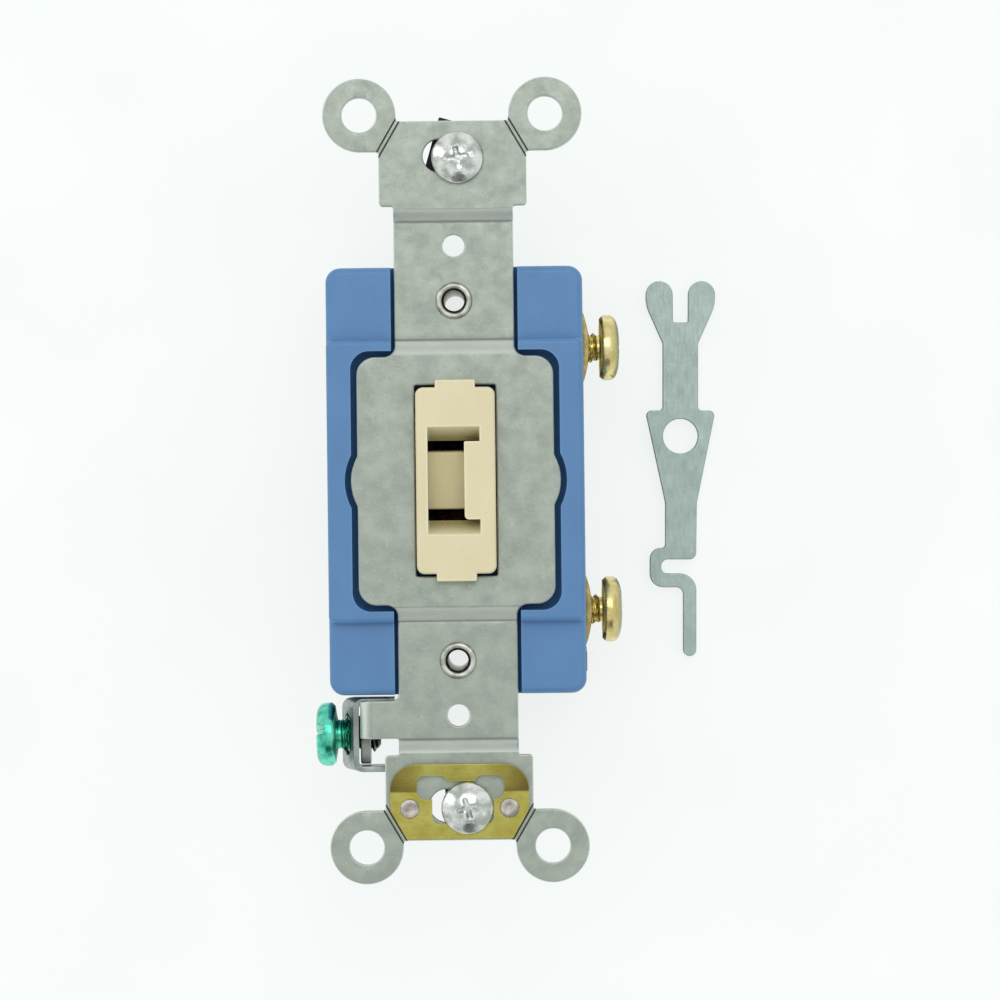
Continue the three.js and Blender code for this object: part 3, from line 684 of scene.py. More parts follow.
# The strips darken inwards with painted shade, inside the housing.
strip_brass = plated("strip_brass", (186, 170, 112), (162, 142, 88), (0.3, 0.45),
                     painted_shade=((62, 50, 34), 17.0, 15.0))
contact_copper = plated("contact_copper", (112, 72, 50), (80, 48, 34))
contact_silver = plated("contact_silver", (220, 220, 218), (190, 190, 186))
# The ground screw's neck and thread get painted shade beyond its head.
green_plating = plated("green_screw", (116, 224, 198), (54, 168, 138), (0.14, 0.26),
                       painted_shade=((26, 50, 42), -15.9, -12.2))
clip_brass = sheet_steel("clip_brass", (180, 174, 94), (164, 153, 70),
                         roughness=(0.22, 0.36), grain=(0.5, 3, 1), metallic=0.95,
                         tinted_patch=((118, 100, 48), lip_corners))
blue_thermoset = cover_plastic("blue_thermoset", (84, 130, 178), (79, 124, 172), (58, 108, 156))
black_thermoset = moulded("black_thermoset", (32, 32, 34), (24, 24, 27))
# Painted shade down the keyway's ramps, and a painted highlight on the rims.
ivory_plastic = moulded("ivory_plastic", (223, 213, 176), (218, 207, 169),
                        roughness=(0.26, 0.36), painted_shade=((158, 146, 98), 30.2, 28.0),
                        rim=(240, 235, 204))
lever_plastic = moulded("lever_plastic", (240, 228, 180), (232, 220, 168))
black_fibre = soft_matte("black_fibre", (34, 34, 34), (22, 22, 22), (1, 5, 1))
bumper_rubber = soft_matte("bumper_rubber", (48, 48, 48), (36, 36, 36))

# -------- strap

SLOPE_IN = (16.1, 18.0)
SLOPE_OUT = (33.3, 34.9)
CREASES = (SLOPE_IN[1] + 0.05, SLOPE_OUT[0] - 0.05)  # |y| of the fine lines at the necks' ends
TAB_RADIUS = 1.8  # outside of the ground tab's bend
TAB_BEND_START = GROUND_TAB_LEFT + TAB_RADIUS
TAB_BEND_MIDDLE = TAB_RADIUS - (STRAP_TOP - STRAP_LOW) / 2
TAB_BEND_LENGTH = TAB_BEND_MIDDLE * pi / 2


def plate_side(grow=0.0):
    """Right side of the strap's centre plate, bottom to top, with its rounded swelling."""
    edge, end = (half + grow for half in CENTRE_HALF)
    centre, radius = 7.0, 6.5 + grow
    turn = degrees(acos((edge - centre) / radius))
    swelling = arc(centre, 0, radius, -turn, turn)
    swelling[0] = (*swelling[0], 0.8)
    swelling[-1] = (*swelling[-1], 0.8)
    return [(edge, -end, 2.4), *swelling, (edge, end, 2.4)]


def strap_outline():
    """The strap's outline with the ground tab laid out flat to the left."""
    ear_x, ear_y = EAR
    tab_top, tab_bottom = GROUND_TAB_Y
    upper = [
        (NECK_HALF, CENTRE_HALF[1], 1.4),
        (NECK_HALF, 35.2, 0.35),
        (9.5, 35.2, 0.5),
        (9.5, ear_y - EAR_RADIUS, 0.4),
        *arc(ear_x, ear_y, EAR_RADIUS, -90, 180, 6),
        (ear_x - EAR_RADIUS, 46.15, 0.4),
    ]
    lower = mirror_y(upper)
    lower_left = mirror_x(lower)
    flat_end = TAB_BEND_START - TAB_BEND_LENGTH - (NECK_TOP - TAB_RADIUS - 16.5)
    tab = [
        (-NECK_HALF, -28.2, 0.8),
        (-13.4, -28.2, 0.6),
        (-13.4, tab_top, 0.3),
        (flat_end, tab_top, 1.6),
        (flat_end, tab_bottom, 1.6),
        (-14.0, tab_bottom, 1.2),
        (-14.0, -33.1, 0.6),
        (-NECK_HALF, -33.1, 0.3),
    ]
    left = mirror_x(plate_side() + upper) + lower_left[:1] + tab + lower_left[1:]
    return outline(lower + plate_side() + upper + left)


def in_ground_tab(x, y):
    return x < -10 and -38 < y < -27


def bend_ground_tab(x, y, z):
    """Turns the flat ground tab down round a bend at its left end."""
    if x > TAB_BEND_START or not in_ground_tab(x, y):
        return x, y, z
    offset = z - (NECK_LOW + NECK_TOP) / 2
    run = TAB_BEND_START - x
    angle = min(run / TAB_BEND_MIDDLE, pi / 2)
    rest = max(0.0, run - TAB_BEND_LENGTH)
    radius = TAB_BEND_MIDDLE + offset
    height = NECK_TOP - TAB_RADIUS + radius * cos(angle) - rest
    return TAB_BEND_START - radius * sin(angle), y, height


def step_down(x, y, z):
    """Sets the strap's two necks below its ends and centre plate."""
    inner = straight_step((abs(y) - SLOPE_IN[0]) / (SLOPE_IN[1] - SLOPE_IN[0]))
    outer = straight_step((abs(y) - SLOPE_OUT[0]) / (SLOPE_OUT[1] - SLOPE_OUT[0]))
    if in_ground_tab(x, y):
        outer = 0
    # The press leaves a fine line where each slope meets the neck.
    crease = sum(exp(-(((abs(y) - foot) / 0.1) ** 2)) for foot in CREASES)
    return x, y, z - NECK_DROP * (inner - outer) - 0.1 * crease


def slot_outline(sign):
    y = sign * SLOT_Y
    right = arc(SLOT_CENTRE, y, SLOT_RADIUS, -90, 90, 6)
    return right + arc(-SLOT_CENTRE, y, SLOT_RADIUS, 90, 270, 6)


def score_lines():
    """Cutters for the two fine lines across the root of each plaster ear."""
    root, along = (8.42, 44.2), (2.29, -3.92)  # middle and direction of the upper right root
    groove, half_length = [(-0.16, 0.05), (0, -0.26), (0.16, 0.05)], 2.9
    cutters = []
    for sign_x in (1, -1):
        for sign_y in (1, -1):
            angle = degrees(atan2(along[1] * sign_y, along[0] * sign_x))
            for shift in (-0.45, 0.1):
                x = sign_x * (root[0] + shift * 0.87)
                y = sign_y * (root[1] + shift * 0.5)
                wedge = along_x(prism(groove, -half_length, half_length))
                cutters.append(moved(wedge, x, y, STRAP_TOP, angle))
    return cutters


def plate_screw_sinks():
    """Cutters that widen the mouths of the two wall-plate holes."""
    narrow, wide = PLATE_SCREW_HOLE, PLATE_SCREW_HOLE + 0.22
    rows = [(0, -0.55), (narrow, -0.55), (narrow, -0.2), (wide, 0.02), (wide, 0.6), (0, 0.6)]
    return [moved(revolve(rows), y=sign * PLATE_SCREW_Y, z=NECK_TOP) for sign in (1, -1)]


def make_strap():
    window = centred_box(5.22, 12.27, 0.3)
    ears = [circle(sx * EAR[0], sy * EAR[1], EAR_HOLE) for sx in (1, -1) for sy in (1, -1)]
    holes = [window, *ears]
    for sign in (1, -1):
        holes.append(slot_outline(sign))
        holes.append(circle(0, sign * PLATE_SCREW_Y, PLATE_SCREW_HOLE, 48))
        holes.append(circle(0, sign * RIVET_Y, 1.95, 48))
        holes.append(circle(sign * CLIP_RIVET[0], CLIP_RIVET[1], CLIP_RIVET_HOLE, 32))
    pad_hole_x = TAB_BEND_START - TAB_BEND_LENGTH - (NECK_TOP - TAB_RADIUS - GROUND[1])
    holes.append(circle(pad_hole_x, GROUND[0], 2.45, 40))
    blank = slab(strap_outline(), STRAP_LOW, STRAP_TOP, holes, under=0.08, over=0.22)
    bends = []
    for low, high in (SLOPE_IN, SLOPE_OUT):
        bends += [low - 0.8, low - 0.3, *spread(low, high, 10), high + 0.3, high + 0.8]
    for foot in CREASES:
        bends += [foot - 0.1, foot, foot + 0.1]
    slice_at(blank, 1, bends + [-b for b in bends])
    slice_at(blank, 0, spread(TAB_BEND_START - TAB_BEND_LENGTH, TAB_BEND_START, 8))
    bend(blank, step_down)
    bend(blank, bend_ground_tab)
    cut(blank, *score_lines(), *plate_screw_sinks())
    piece("strap_body", blank, "strap", strap_steel)


make_strap()

# -------- housing

COVER_END, COVER_MIDDLE = 26.9, 28.5
COVER_MIDDLE_HALF = 18.2
CAVITY = (13.9, 19.2)


def terminal_recess(y, low, high, slot_high):
    return [
        box(14.7, 18, y - 5.5, y + 5.5, low, high),
        box(13.4, 15.9, y - 2.9, y + 2.9, low, slot_high),
    ]


def make_front_cover():
    half_x, half_y = BODY_HALF
    low = PARTING + 0.3
    shell = slab(centred_box(half_x, half_y, 1.9), low, COVER_END, under=0.15, over=0.9, count=6)
    middle = slab(centred_box(half_x, COVER_MIDDLE_HALF, 0.9), low + 1, COVER_MIDDLE,
                  under=0.1, over=0.75, count=6)
    join(shell, middle)
    channel_half = NECK_HALF + 0.45
    # A deeper moat under the strap's edges and round the lock face keeps the gaps dark.
    moat_low = STRAP_LOW - 1.5
    pocket = both_sides(plate_side(0.75))
    tools = [
        prism(pocket, moat_low, ABOVE, [both_sides(plate_side(-0.5))]),
        prism(centred_box(5.6, 12.7, 0.4), moat_low, ABOVE, [centred_box(4.8, 11.2, 0.4)]),
    ]
    for sign in (1, -1):
        ends = on_side(sign, 15.0, 30)
        tools.append(box(-channel_half, channel_half, *ends, NECK_LOW - 0.3, ABOVE))
        for side in (1, -1):
            edges = on_side(side, channel_half, NECK_HALF - 0.6)
            tools.append(box(*edges, *ends, NECK_LOW - 1.2, ABOVE))
    tools.append(prism(pocket, STRAP_LOW - 0.3, ABOVE))
    tools.append(box(-4.5, 4.5, -5.6, 5.6, low, ABOVE))
    hollow_low = box(-CAVITY[0], CAVITY[0], -CAVITY[1], CAVITY[1], low - 1, 23.2)
    hollow_high = box(-CAVITY[0] + 0.02, CAVITY[0] - 0.02, -15.2, 15.2, low, 24.8)
    tools += [hollow_low, hollow_high]
    for sign in (1, -1):
        tools.append(rod(0, sign * RIVET_Y, RIVET_BORE, low - 1, ABOVE))
    for y in TERMINAL_Y.values():
        tools += terminal_recess(y, low - 1, SCREW_Z + 5.2, SCREW_Z + 2.6)
    cut(shell, *tools)
    lugs = []
    for sign in (1, -1):
        x0, x1 = on_side(sign, 4.9, 6.7)
        lug = box(x0, x1, -2.6, 2.6, LEVER_PIVOT - 1.6, 25.1, 0.2)
        mouth = LEVER_PIVOT - 2.5
        slot = [*arc(0, LEVER_PIVOT, 1.7, 0, 180), (-1.7, mouth), (1.7, mouth)]
        cut(lug, along_x(prism(slot, x0 - 1, x1 + 1)))
        lugs.append(lug)
    join(shell, *lugs)
    soften(shell, 0.28, 3)
    piece("housing_front", shell, "front_cover", blue_thermoset)


def make_back_body():
    half_x, half_y = BODY_HALF[0] - 0.1, BODY_HALF[1] - 0.1
    shell = slab(centred_box(half_x, half_y, 1.9), 0, PARTING, under=0.6, over=0.15, count=5)
    rib = slab(rounded_box(15.5, 16.75, -25.1, -21.7, 0.3), 1.5, PARTING - 1, under=0.2, over=0.2)
    join(shell, rib)
    tools = [
        box(-CAVITY[0], CAVITY[0], -CAVITY[1], CAVITY[1], 1.8, ABOVE),
        prism(centred_box(10.5, 15.5, 1.5), BELOW, 0.4),
    ]
    for sign in (1, -1):
        tools.append(rod(0, sign * RIVET_Y, RIVET_BORE, BELOW, ABOVE))
        tools.append(rod(0, sign * RIVET_Y, 3.0, BELOW, 1.2, 48))
        # Round marks left by the mould's ejector pins.
        for x in (-12.6, 12.6):
            tools.append(rod(x, sign * 23.4, 1.6, BELOW, 0.18))
    for y in TERMINAL_Y.values():
        tools += terminal_recess(y, SCREW_Z - 5.4, ABOVE, ABOVE)
    # The groove that shows how much wire to strip.
    tools.append(box(-15.0, -13.6, -6.0, 8.5, BELOW, 0.5))
    cut(shell, *tools)
    soften(shell, 0.2, 2)
    piece("housing_back", shell, "back_body", black_thermoset)


make_front_cover()
make_back_body()


def make_body_rivets():
    for node, sign in (("body_rivet_top", 1), ("body_rivet_bottom", -1)):
        flange = NECK_TOP + 0.05
        rolled = arc(1.95, flange + 0.02, 0.42, 0, 180, 15)
        rows = [
            (1.33, 0.45), (1.5, 0.27), (2.2, 0.27), (2.48, 0.4), (2.48, 0.62), (2.3, 0.82),
            (1.75, 0.98), (1.75, flange), (2.37, flange), *rolled[1:],
            (1.33, flange - 0.25),
        ]
        made = moved(revolve_ring(rows, 72), y=sign * RIVET_Y)
        piece(f"{node}_turned", made, node, rivet_steel, 50)


make_body_rivets()

# -------- lock face and lever

FACE_TOP = 30.4


def make_lock_face():
    ramp_z, half_length, floor_length = FACE_TOP - 3.1, 6.9, 5.1
    block = slab(centred_box(5.1, 11.95, 1.0, 10), 26.75, FACE_TOP, under=0.1, over=0.42, count=5)
    tabs = []
    for sign in (1, -1):
        tab = rounded_box(-2.57, 2.57, *on_side(sign, 9.5, 12.9), 0.25)
        tabs.append(slab(tab, 28.35, FACE_TOP - 0.02, under=0.1, over=0.16))
    join(block, *tabs)
    slope = (half_length - floor_length) / (FACE_TOP - ramp_z)
    end, above = half_length + slope, FACE_TOP + 1
    mouth = [(-floor_length, ramp_z), (floor_length, ramp_z), (end, above), (-end, above)]
    ramps = along_x(prism(mouth, -3.6, 3.1))
    shaft = box(-3.58, 3.08, -5.12, 5.12, 25, ramp_z + 0.3)
    join(ramps, shaft)
    bar_corner = outline([(1.1, -5.0, 0.55), (6, -5.0), (6, 5.0), (1.1, 5.0, 0.2)])
    cut(ramps, prism(bar_corner, FACE_TOP - 2, FACE_TOP + 2))
    cut(block, ramps)
    soften(block, 0.09, 2, 45)
    piece("lock_face_moulded", block, "lock_face", ivory_plastic)


def place_lever(made):
    return moved(made, z=LEVER_PIVOT, turn=LEVER_TILT, axis="X")


def make_lever():
    hub = along_x(slab(circle(0, 0, 2.2, 48), -4.0, 4.0, under=0.15, over=0.15))
    paddle = slab(rounded_box(-4.0, 4.0, -3.4, 4.1, 0.5), 1.2, 2.5, under=0.2, over=0.3)
    neck = along_x(prism([(-2.2, 0), (2.2, 0), (3.0, 1.5), (-3.0, 1.5)], -3.4, 3.4))
    trunnion = along_x(slab(circle(0, 0, 1.4, 40), -6.5, 6.5, under=0.25, over=0.25))
    barrel = revolve([(0, -12.2), (2.6, -12.2), (2.85, -12.1), (2.9, -11.8), (2.9, 0), (0, 0)], 64)
    bore = revolve([(0, -13), (1.95, -13), (1.95, -3.6), (1.7, -3.4), (0, -3.4)])
    join(hub, neck, paddle, trunnion, barrel)
    cut(hub, bore)
    piece("lever_moulded", place_lever(hub), "lever", lever_plastic)


def make_spring():
    curve = bpy.data.curves.new("lever_spring_coil", "CURVE")
    curve.dimensions = "3D"
    curve.bevel_depth = 0.22
    curve.bevel_resolution = 3
    curve.use_fill_caps = True
    turns, low, high, radius, samples = 6, -10.0, -3.9, 1.3, 24
    spline = curve.splines.new("POLY")
    count = turns * samples
    spline.points.add(count)
    for i, point in enumerate(spline.points):
        angle = 2 * pi * i / samples
        point.co = (radius * cos(angle), radius * sin(angle), low + (high - low) * i / count, 1)
    wire = add_object("lever_spring_wire", curve)
    coil = add_object("lever_spring_coil", baked_mesh(wire))
    bpy.data.objects.remove(wire)
    edit(coil, lambda bm: bmesh.ops.remove_doubles(bm, verts=bm.verts, dist=1e-4))
    piece("lever_spring_coil", place_lever(coil), "lever_spring", spring_steel)


def make_plunger():
    rows = [(0, -15.72), (0.5, -15.66), (0.8, -15.5), (1.2, -15.15), (1.45, -14.6), (1.6, -13.6),
            (1.6, -10.55), (1.45, -10.4), (0, -10.4)]
    made = place_lever(revolve(rows))
    piece("plunger_turned", made, "plunger", terminal_brass)


make_lock_face()
make_lever()
make_spring()
make_plunger()

# -------- contact arm and terminals


def place_arm(made):
    return moved(made, z=ARM_PIVOT, turn=-ARM_TILT, axis="X")


def make_contact_arm():
    corners = [(2.6, -12.4, 1.2), (2.6, -0.9, 0.2), (5.4, -0.9, 0.2)]
    blade = slab(both_sides(corners + mirror_y(corners)), -0.5, 0.5, under=0.08, over=0.12)
    piece("contact_arm_blade", place_arm(blade), "contact_arm", contact_copper)
    moving = revolve([(0, -1.4), (0.7, -1.38), (1.4, -1.28), (1.7, -1.12), (1.8, -0.95),
                      (1.8, -0.52), (0, -0.52)])
    place_arm(moved(moving, y=CONTACT_Y))
    piece("moving_contact_button", moving, "moving_contact", contact_silver)
    fixed = revolve([(0, 3.12), (2, 3.12), (2, 3.55), (1.9, 3.7), (1.5, 3.86), (0, 3.9)])
    moved(fixed, y=CONTACT_Y)
    piece("fixed_contact_button", fixed, "fixed_contact", contact_silver)
    bumper = slab(rounded_box(-2.4, 2.4, 9.6, 12.2, 0.5), 3.12, 4.6, under=0.1, over=0.3)
    piece("arm_bumper_block", bumper, "arm_bumper", bumper_rubber)


def outer_plate(y):
    """The bowed clamping plate of a side terminal, with its screw hole."""
    half, bulge, thickness = 4.95, 0.95, 0.95
    face = rounded_box(y - half, y + half, 10.0, 19.6, 1.0)
    hole = circle(y, SCREW_Z, 2.2, 40)
    blank = along_x(slab(face, 16.45 - thickness, 16.45, [hole], under=0.08, over=0.2))
    slice_at(blank, 1, spread(y - half, y + half, 16)[1:-1])
    return bend(blank, lambda px, py, pz: (px + bulge * (1 - ((py - y) / half) ** 2), py, pz))


def terminal_leg(y0, y1):
    """The bent strip from the outer plate in through the wall and down to the floor."""
    corners = [
        (10.0, 16.6), (10.0, 12.5, 0.6), (1.9, 12.5, 0.6), (1.9, 6), (3.1, 6), (3.1, 11.3, 0.4),
        (11.2, 11.3, 0.4), (11.2, 16.6),
    ]
    return along_y(slab(outline(corners), y0, y1, under=0.06, over=0.06))


def make_terminals():
    y = TERMINAL_Y["line"]
    line = outer_plate(y)
    ears = []
    low, high = ARM_PIVOT - 1.1, ARM_PIVOT + 1
    notch = [(1.35, high), (1.1, low), (-1.1, low), (-1.35, high)]
    for sign in (1, -1):
        x0, x1 = on_side(sign, 3.4, 4.6)
        ear = box(x0, x1, -2.6, 2.6, 1.92, ARM_PIVOT + 0.5, 0.1)
        cut(ear, along_x(prism(notch, x0 - 1, x1 + 1)))
        ears.append(ear)
    feet = [box(-4.6, 6.5, y - 2.48, y + 1.58, *TERMINAL_FOOT),
            box(-4.58, 4.58, -2.58, y, 1.9, 3.1)]
    join(line, terminal_leg(y - 2.5, y + 1.6), *feet, *ears)
    piece("line_terminal_strip", line, "line_terminal", strip_brass)

    y = TERMINAL_Y["load"]
    load = outer_plate(y)
    feet = [box(-2.6, 6.5, y - 1.58, y + 2.48, *TERMINAL_FOOT),
            prism(rounded_box(-2.58, 2.58, y, CONTACT_Y + 2.6, 1.0), 1.9, 3.1)]
    join(load, terminal_leg(y - 1.6, y + 2.5), *feet)
    piece("load_terminal_strip", load, "load_terminal", strip_brass)


make_contact_arm()
make_terminals()

# -------- screws


def screw(head, major, minor, length, neck, pitch=0.79, count=64):
    """A machine screw about Z: head rows above 0, a plain neck, a cut thread down to -length."""
    per_pitch = 10
    tip, tip_radius = 0.7, minor - 0.45
    levels = spread(-length, -neck, round((length - neck) / pitch * per_pitch))
    threaded = [(minor, z) for z in levels[1:]]
    rows = [(0, -length), (tip_radius, -length), *threaded, (minor, -neck * 0.5), *head]

    def radius_at(radius, z, angle):
        if z > -neck - 1e-6 or radius != minor:
            return radius
        fade = smooth_step((-neck - z) / pitch)
        phase = (z / pitch - angle / (2 * pi)) % 1
        crest = max(0.0, min(1.0, (abs(2 * phase - 1) - 0.12) / 0.74))
        cone = tip_radius + (z + length) / tip * (major - tip_radius)
        return min(minor + (major - minor) * crest * fade, cone)

    return revolve(rows, count, radius_at)


def recess(top, slot, wing):
    """Cutters of a combination head: a slot right across it and a tapered cross in its middle.

    `slot` is a width and a depth; `wing` is the width, reach and depth of the cross's arms.
    """
    slot_width, slot_depth = slot
    wing_width, wing_reach, wing_depth = wing
    past_rim = 5.5
    across = box(-past_rim, past_rim, -slot_width / 2, slot_width / 2, top - slot_depth, top + 1)
    half = wing_width / 2
    taper = 0.7 * half
    tip = 0.9 * half
    quarter = [(wing_reach, -half, tip), (wing_reach, half, tip), (half, half, 0.2)]
    corners = []
    for _ in range(4):
        corners += quarter
        quarter = [(-y, x, radius) for x, y, radius in quarter]
    rows = [(taper, top - wing_depth), (0.04, top - 0.1), (0, top + 1)]
    return [across, plate(outline(corners), [], rows)]


def binding_head(radius, depth, dome):
    """Rows of a binding head: chamfered rim under, upright side, then a rounded face.

    `dome` is how far the rounding reaches in from the rim.
    """
    side = 0.5 * depth
    face = [(radius - dome * (1 - cos(a)), side + (depth - side - 0.08) * sin(a))
            for a in (radians(15 * i) for i in range(7))]
    under = [(radius - 0.5, 0.0), (radius - 0.42, 0.02), (radius - 0.06, 0.42), (radius, 0.58)]
    middle = radius - dome
    flat = [(middle * 0.66, depth - 0.035), (middle * 0.33, depth - 0.01), (0, depth)]
    return under + face + flat


def along_screw_x(made, turn, flip=False):
    """Lays a screw drawn about Z along X, its head to the right (or left, flipped)."""
    made.data.transform(Matrix.Rotation(radians(turn), 4, "Z"))
    made.data.transform(Matrix.Rotation(radians(-90 if flip else 90), 4, "Y"))
    return made


def make_side_screws():
    depth = 2.65
    for name, turn in (("line", 80), ("load", 100)):
        node = f"{name}_terminal_screw"
        made = screw(binding_head(4.25, depth, 2.7), major=2.0, minor=1.62, length=5.85, neck=0.15)
        cut(made, *recess(depth, slot=(1.15, 0.85), wing=(1.0, 2.0, 1.3)))
        along_screw_x(made, turn)
        moved(made, 18.75, TERMINAL_Y[name], SCREW_Z)
        piece(f"{node}_threaded", made, node, terminal_brass, 40)
    depth = 2.6
    made = screw(binding_head(4.1, depth, 1.6), major=2.36, minor=1.86, length=5.8, neck=0.55)
    cut(made, *recess(depth, slot=(1.3, 1.0), wing=(1.1, 2.0, 1.5)))
    along_screw_x(made, 13, flip=True)
    moved(made, -15.9, *GROUND)
    piece("ground_screw_threaded", made, "ground_screw", green_plating, 40)


def make_mounting_screws():
    head_radius, head_top, dome = 3.35, 1.9, 5.4
    rim = 3.12
    cap = [(r, head_top - dome + sqrt(dome ** 2 - r ** 2)) for r in spread(rim, 0, 12)]
    side = ((0.3, 0), (0.22, 0.02), (0.03, 0.2), (0, 0.4), (0.03, 0.62), (0.1, 0.82))
    head = [(head_radius - inset, z) for inset, z in side] + cap
    for name, turn in (("top", 12), ("bottom", 15)):
        node = f"mounting_screw_{name}"
        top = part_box(node)[1].z / MM
        made = screw(head, major=1.72, minor=1.36, length=19, neck=0.1, pitch=0.794, count=56)
        cut(made, *recess(head_top, slot=(0.75, 0.45), wing=(0.9, 1.55, 1.4)))
        moved(made, *MOUNTING_SCREW[name], top - head_top, turn)
        piece(f"{node}_threaded", made, node, bright_zinc, 40)


make_side_screws()
make_mounting_screws()

# -------- ground bracket


def make_ground_bracket():
    top, bottom, sheet, right, left = -27.9, -37.4, 0.75, -8.3, -13.6
    low, high, bend_start = 16.8, 24.6, -11.0
    inner_left, inner_top, inner_bottom = left + sheet, top - sheet, bottom + sheet
    section = outline([
        (right, top), (left, top, 1.3), (left, bottom, 1.3), (right, bottom),
        (right, inner_bottom), (inner_left, inner_bottom, 0.6), (inner_left, inner_top, 0.6),
        (right, inner_top),
    ])
    strip = slab(section, low, high, under=0.12, over=0.12)
    slice_at(strip, 0, spread(left + 0.8, bend_start, 4))
    slice_at(strip, 2, spread(low, high, 8)[1:-1])

    def lean(x, y, z):
        """Below its top the bent end of the strip leans out to the left."""
        share = smooth_step((bend_start - x) / 2.2)
        return x - 1.6 * share * (high - z) / (high - low), y, z

    bend(strip, lean)
    cut(strip, along_x(rod(*GROUND, 2.75, -17, -11.6, 48)))
    piece("ground_bracket_strip", strip, "ground_bracket", bracket_steel)


make_ground_bracket()

# -------- self-grounding clip


def make_clip():
    half, top, crease, bottom, sheet = 8.9, -36.3, -39.9, -45.95, 0.5
    right = [(half - 2.1, bottom, 0.3), (half, bottom + 3.7, 0.3), (half, top, 3.4)]
    holes = [circle(sx * CLIP_RIVET[0], CLIP_RIVET[1], CLIP_RIVET_HOLE, 32) for sx in (1, -1)]
    low = STRAP_TOP + 0.03
    blank = slab(both_sides(right), low, low + sheet, holes, under=0.04, over=0.08)
    openings = [
        rounded_box(-3.5, 4.4, -44.0, -38.5, 0.9),
        rounded_box(-5.5, -1.5, -40.85, -37.75, 1.1),
        rounded_box(1.95, 5.75, -40.85, -37.75, 1.1),
    ]
    cut(blank, *[prism(opening, low - 1, low + 2) for opening in openings])
    slice_at(blank, 1, [crease - 0.15, *spread(crease, top, 14)[:-1]])

    def tilt(x, y, z):
        """Above the crease the sheet springs up and curls level again."""
        past = max(0.0, y - crease)
        return x, y, z + 0.37 * past * (1 - past / 11.4)

    bend(blank, tilt)
    piece("grounding_clip_sheet", blank, "grounding_clip", clip_brass)
    for node, sign in (("clip_rivet_left", -1), ("clip_rivet_right", 1)):
        head = STRAP_TOP + sheet + 0.06
        rows = [(0, 26.35), (1.05, 26.37), (1.15, 26.45), (1.15, 26.85), (0.8, 26.85), (0.8, head),
                (1.15, head), (1.24, head + 0.07), (1.16, head + 0.2), (0.9, head + 0.25),
                (0.62, head + 0.22), (0.45, head + 0.1), (0.3, head + 0.08), (0, head + 0.1)]
        made = moved(revolve(rows), sign * CLIP_RIVET[0], CLIP_RIVET[1])
        piece(f"{node}_turned", made, node, clip_rivet_steel, 40)


make_clip()


def make_retainers():
    shapes = {
        "top": ([(1.3, -3.4, 0.2), (3.7, -2.0, 0.2), (3.7, 4.5, 0.2)], -16),
        "bottom": ([(1.9, -4.0, 0.2), (2.7, -3.2, 0.2), (2.7, 3.9, 0.2)], 4),
    }
    for name, (right, turn) in shapes.items():
        hole = circle(0, 0, 1.95, 40)
        made = slab(both_sides(right), -1.2, -0.35, [hole], under=0.05, over=0.08)
        moved(made, *MOUNTING_SCREW[name], STRAP_LOW, turn)
        node = f"screw_retainer_{name}"
        piece(f"{node}_card", made, node, black_fibre)


make_retainers()

# -------- key

PICTURE_TURN = -0.66  # the camera and the key are turned alike against the switch


def make_key():
    lobe, fork, slot = 1.8, 4.6, 0.98
    right_side = [
        (slot, 5.45, 0.25), *arc(fork - lobe, lobe, lobe, 180, 360), (fork, 3.2, 5),
        (2.36, 8.25, 1.2), (2.36, 17.1, 0.5), (4.55, 17.1, 0.7), (4.5, 17.9, 0.3), (2.2, 29.3, 3),
    ]
    hook = [
        (2.1, 36.8, 0.9), (-2.5, 36.8, 0.85), (-2.5, 38.65, 0.8), (2.13, 38.65, 2.2),
        *arc(1.24, 48.7, 0.89, 0, 180), (0.35, 40.5, 0.9), (-4.05, 40.5, 1.8),
        (-4.05, 35.2, 1.45), (-2.02, 35.3, 0.5),
    ]
    left_side = [(-2.02, 29.3, 3), *mirror_x(right_side)[1:]]
    flipped = [(x, -y) for x, y in outline(right_side + hook + left_side)]
    blank = slab(flipped, 0, 1.3, [circle(0, -20.5, 2.29)], under=0.1, over=0.16)
    moved(blank, 29.8, 26.1, 0, PICTURE_TURN)
    piece("key_blank", blank, "key", key_steel)


make_key()

# -------- floor, light and camera


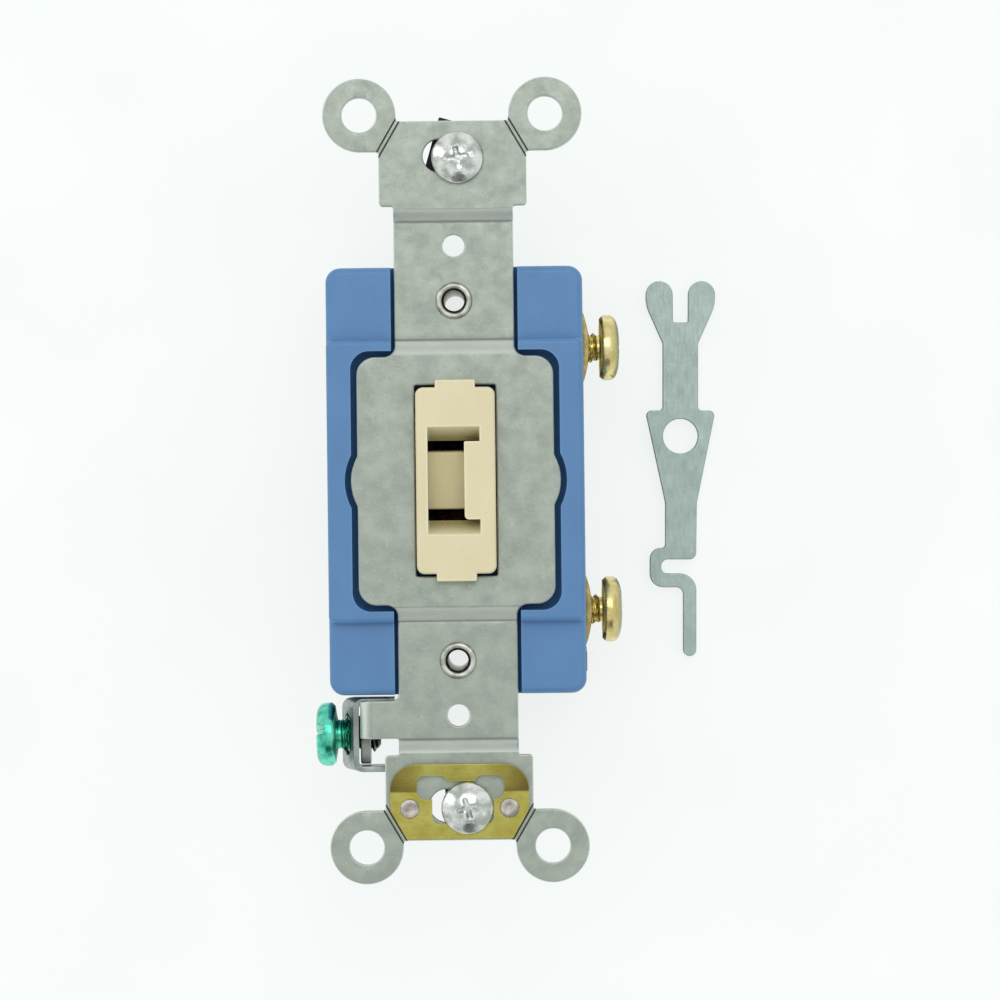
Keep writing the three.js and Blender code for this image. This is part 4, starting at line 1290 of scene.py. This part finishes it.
def make_floor():
    half = 3
    corners = [(-half, -half, 0), (half, -half, 0), (half, half, 0), (-half, half, 0)]
    floor = new_object("floor", corners, [(0, 1, 2, 3)])
    floor.location.z = -0.0002
    n = Look("floor_white")
    colour = n.mix(n.spread(n.noise(25, detail=2), 0.3, 0.7), (104, 108, 107), (112, 116, 115))
    n.finish(colour, 0.7, 0.0, Emission_Color=[0.97, 1.0, 0.99, 1], Emission_Strength=0.8)
    floor.data.materials.append(n.material)


def make_light(name, place, size, power):
    """A soft lamp that shines on the switch."""
    light = bpy.data.lights.new(name, "AREA")
    light.shape = "RECTANGLE"
    light.size, light.size_y = size
    light.energy = power
    lamp = add_object(name, light)
    lamp.location = place
    aim = Vector((0, 0, 0.02)) - Vector(place)
    lamp.rotation_euler = aim.to_track_quat("-Z", "Y").to_euler()


def make_world():
    """A pale, even studio with one darker patch towards the switch's lower end."""
    world = bpy.data.worlds.new("studio")
    bpy.context.scene.world = world
    world.use_nodes = True
    n = Nodes(world.node_tree)
    back = n.tree.nodes["Background"]
    direction = n.add("ShaderNodeTexCoord").outputs["Generated"]

    def toward(aim, *limits):
        """A value that changes with how nearly a direction points at `aim`."""
        dot = n.add("ShaderNodeVectorMath", operation="DOT_PRODUCT")
        dot.inputs[1].default_value = Vector(aim).normalized()
        n.link(direction, dot.inputs[0])
        return n.spread(dot.outputs["Value"], *limits, interpolation_type="SMOOTHSTEP")

    tent = toward((0, 0.25, 1), -0.2, 1.0, 0.8, 0.9)
    dark_patch = toward((0.05, -0.83, 0.56), 0.93, 0.985, 1.0, 0.25)
    n.link(n.maths("MULTIPLY", tent, dark_patch), back.inputs["Strength"])
    back.inputs["Color"].default_value = (0.98, 1.0, 0.99, 1)


def make_camera():
    """Straight above the switch, a little to the right of its middle, and turned slightly."""
    camera = bpy.data.cameras.new("camera")
    camera.sensor_width = 36
    camera.lens = 238.7
    viewer = add_object("camera", camera)
    viewer.location = (5.62 * MM, -2.565 * MM, 0.8782)
    viewer.rotation_euler = (0, 0, radians(PICTURE_TURN))
    bpy.context.scene.camera = viewer


make_floor()
make_world()
make_light("overhead", (0.02, 0.27, 0.75), (0.5, 0.35), 0.9)
make_light("left_fill", (-0.6, 0.25, 0.45), (0.3, 0.5), 0.5)
make_camera()
bpy.context.scene.view_settings.view_transform = "Standard"
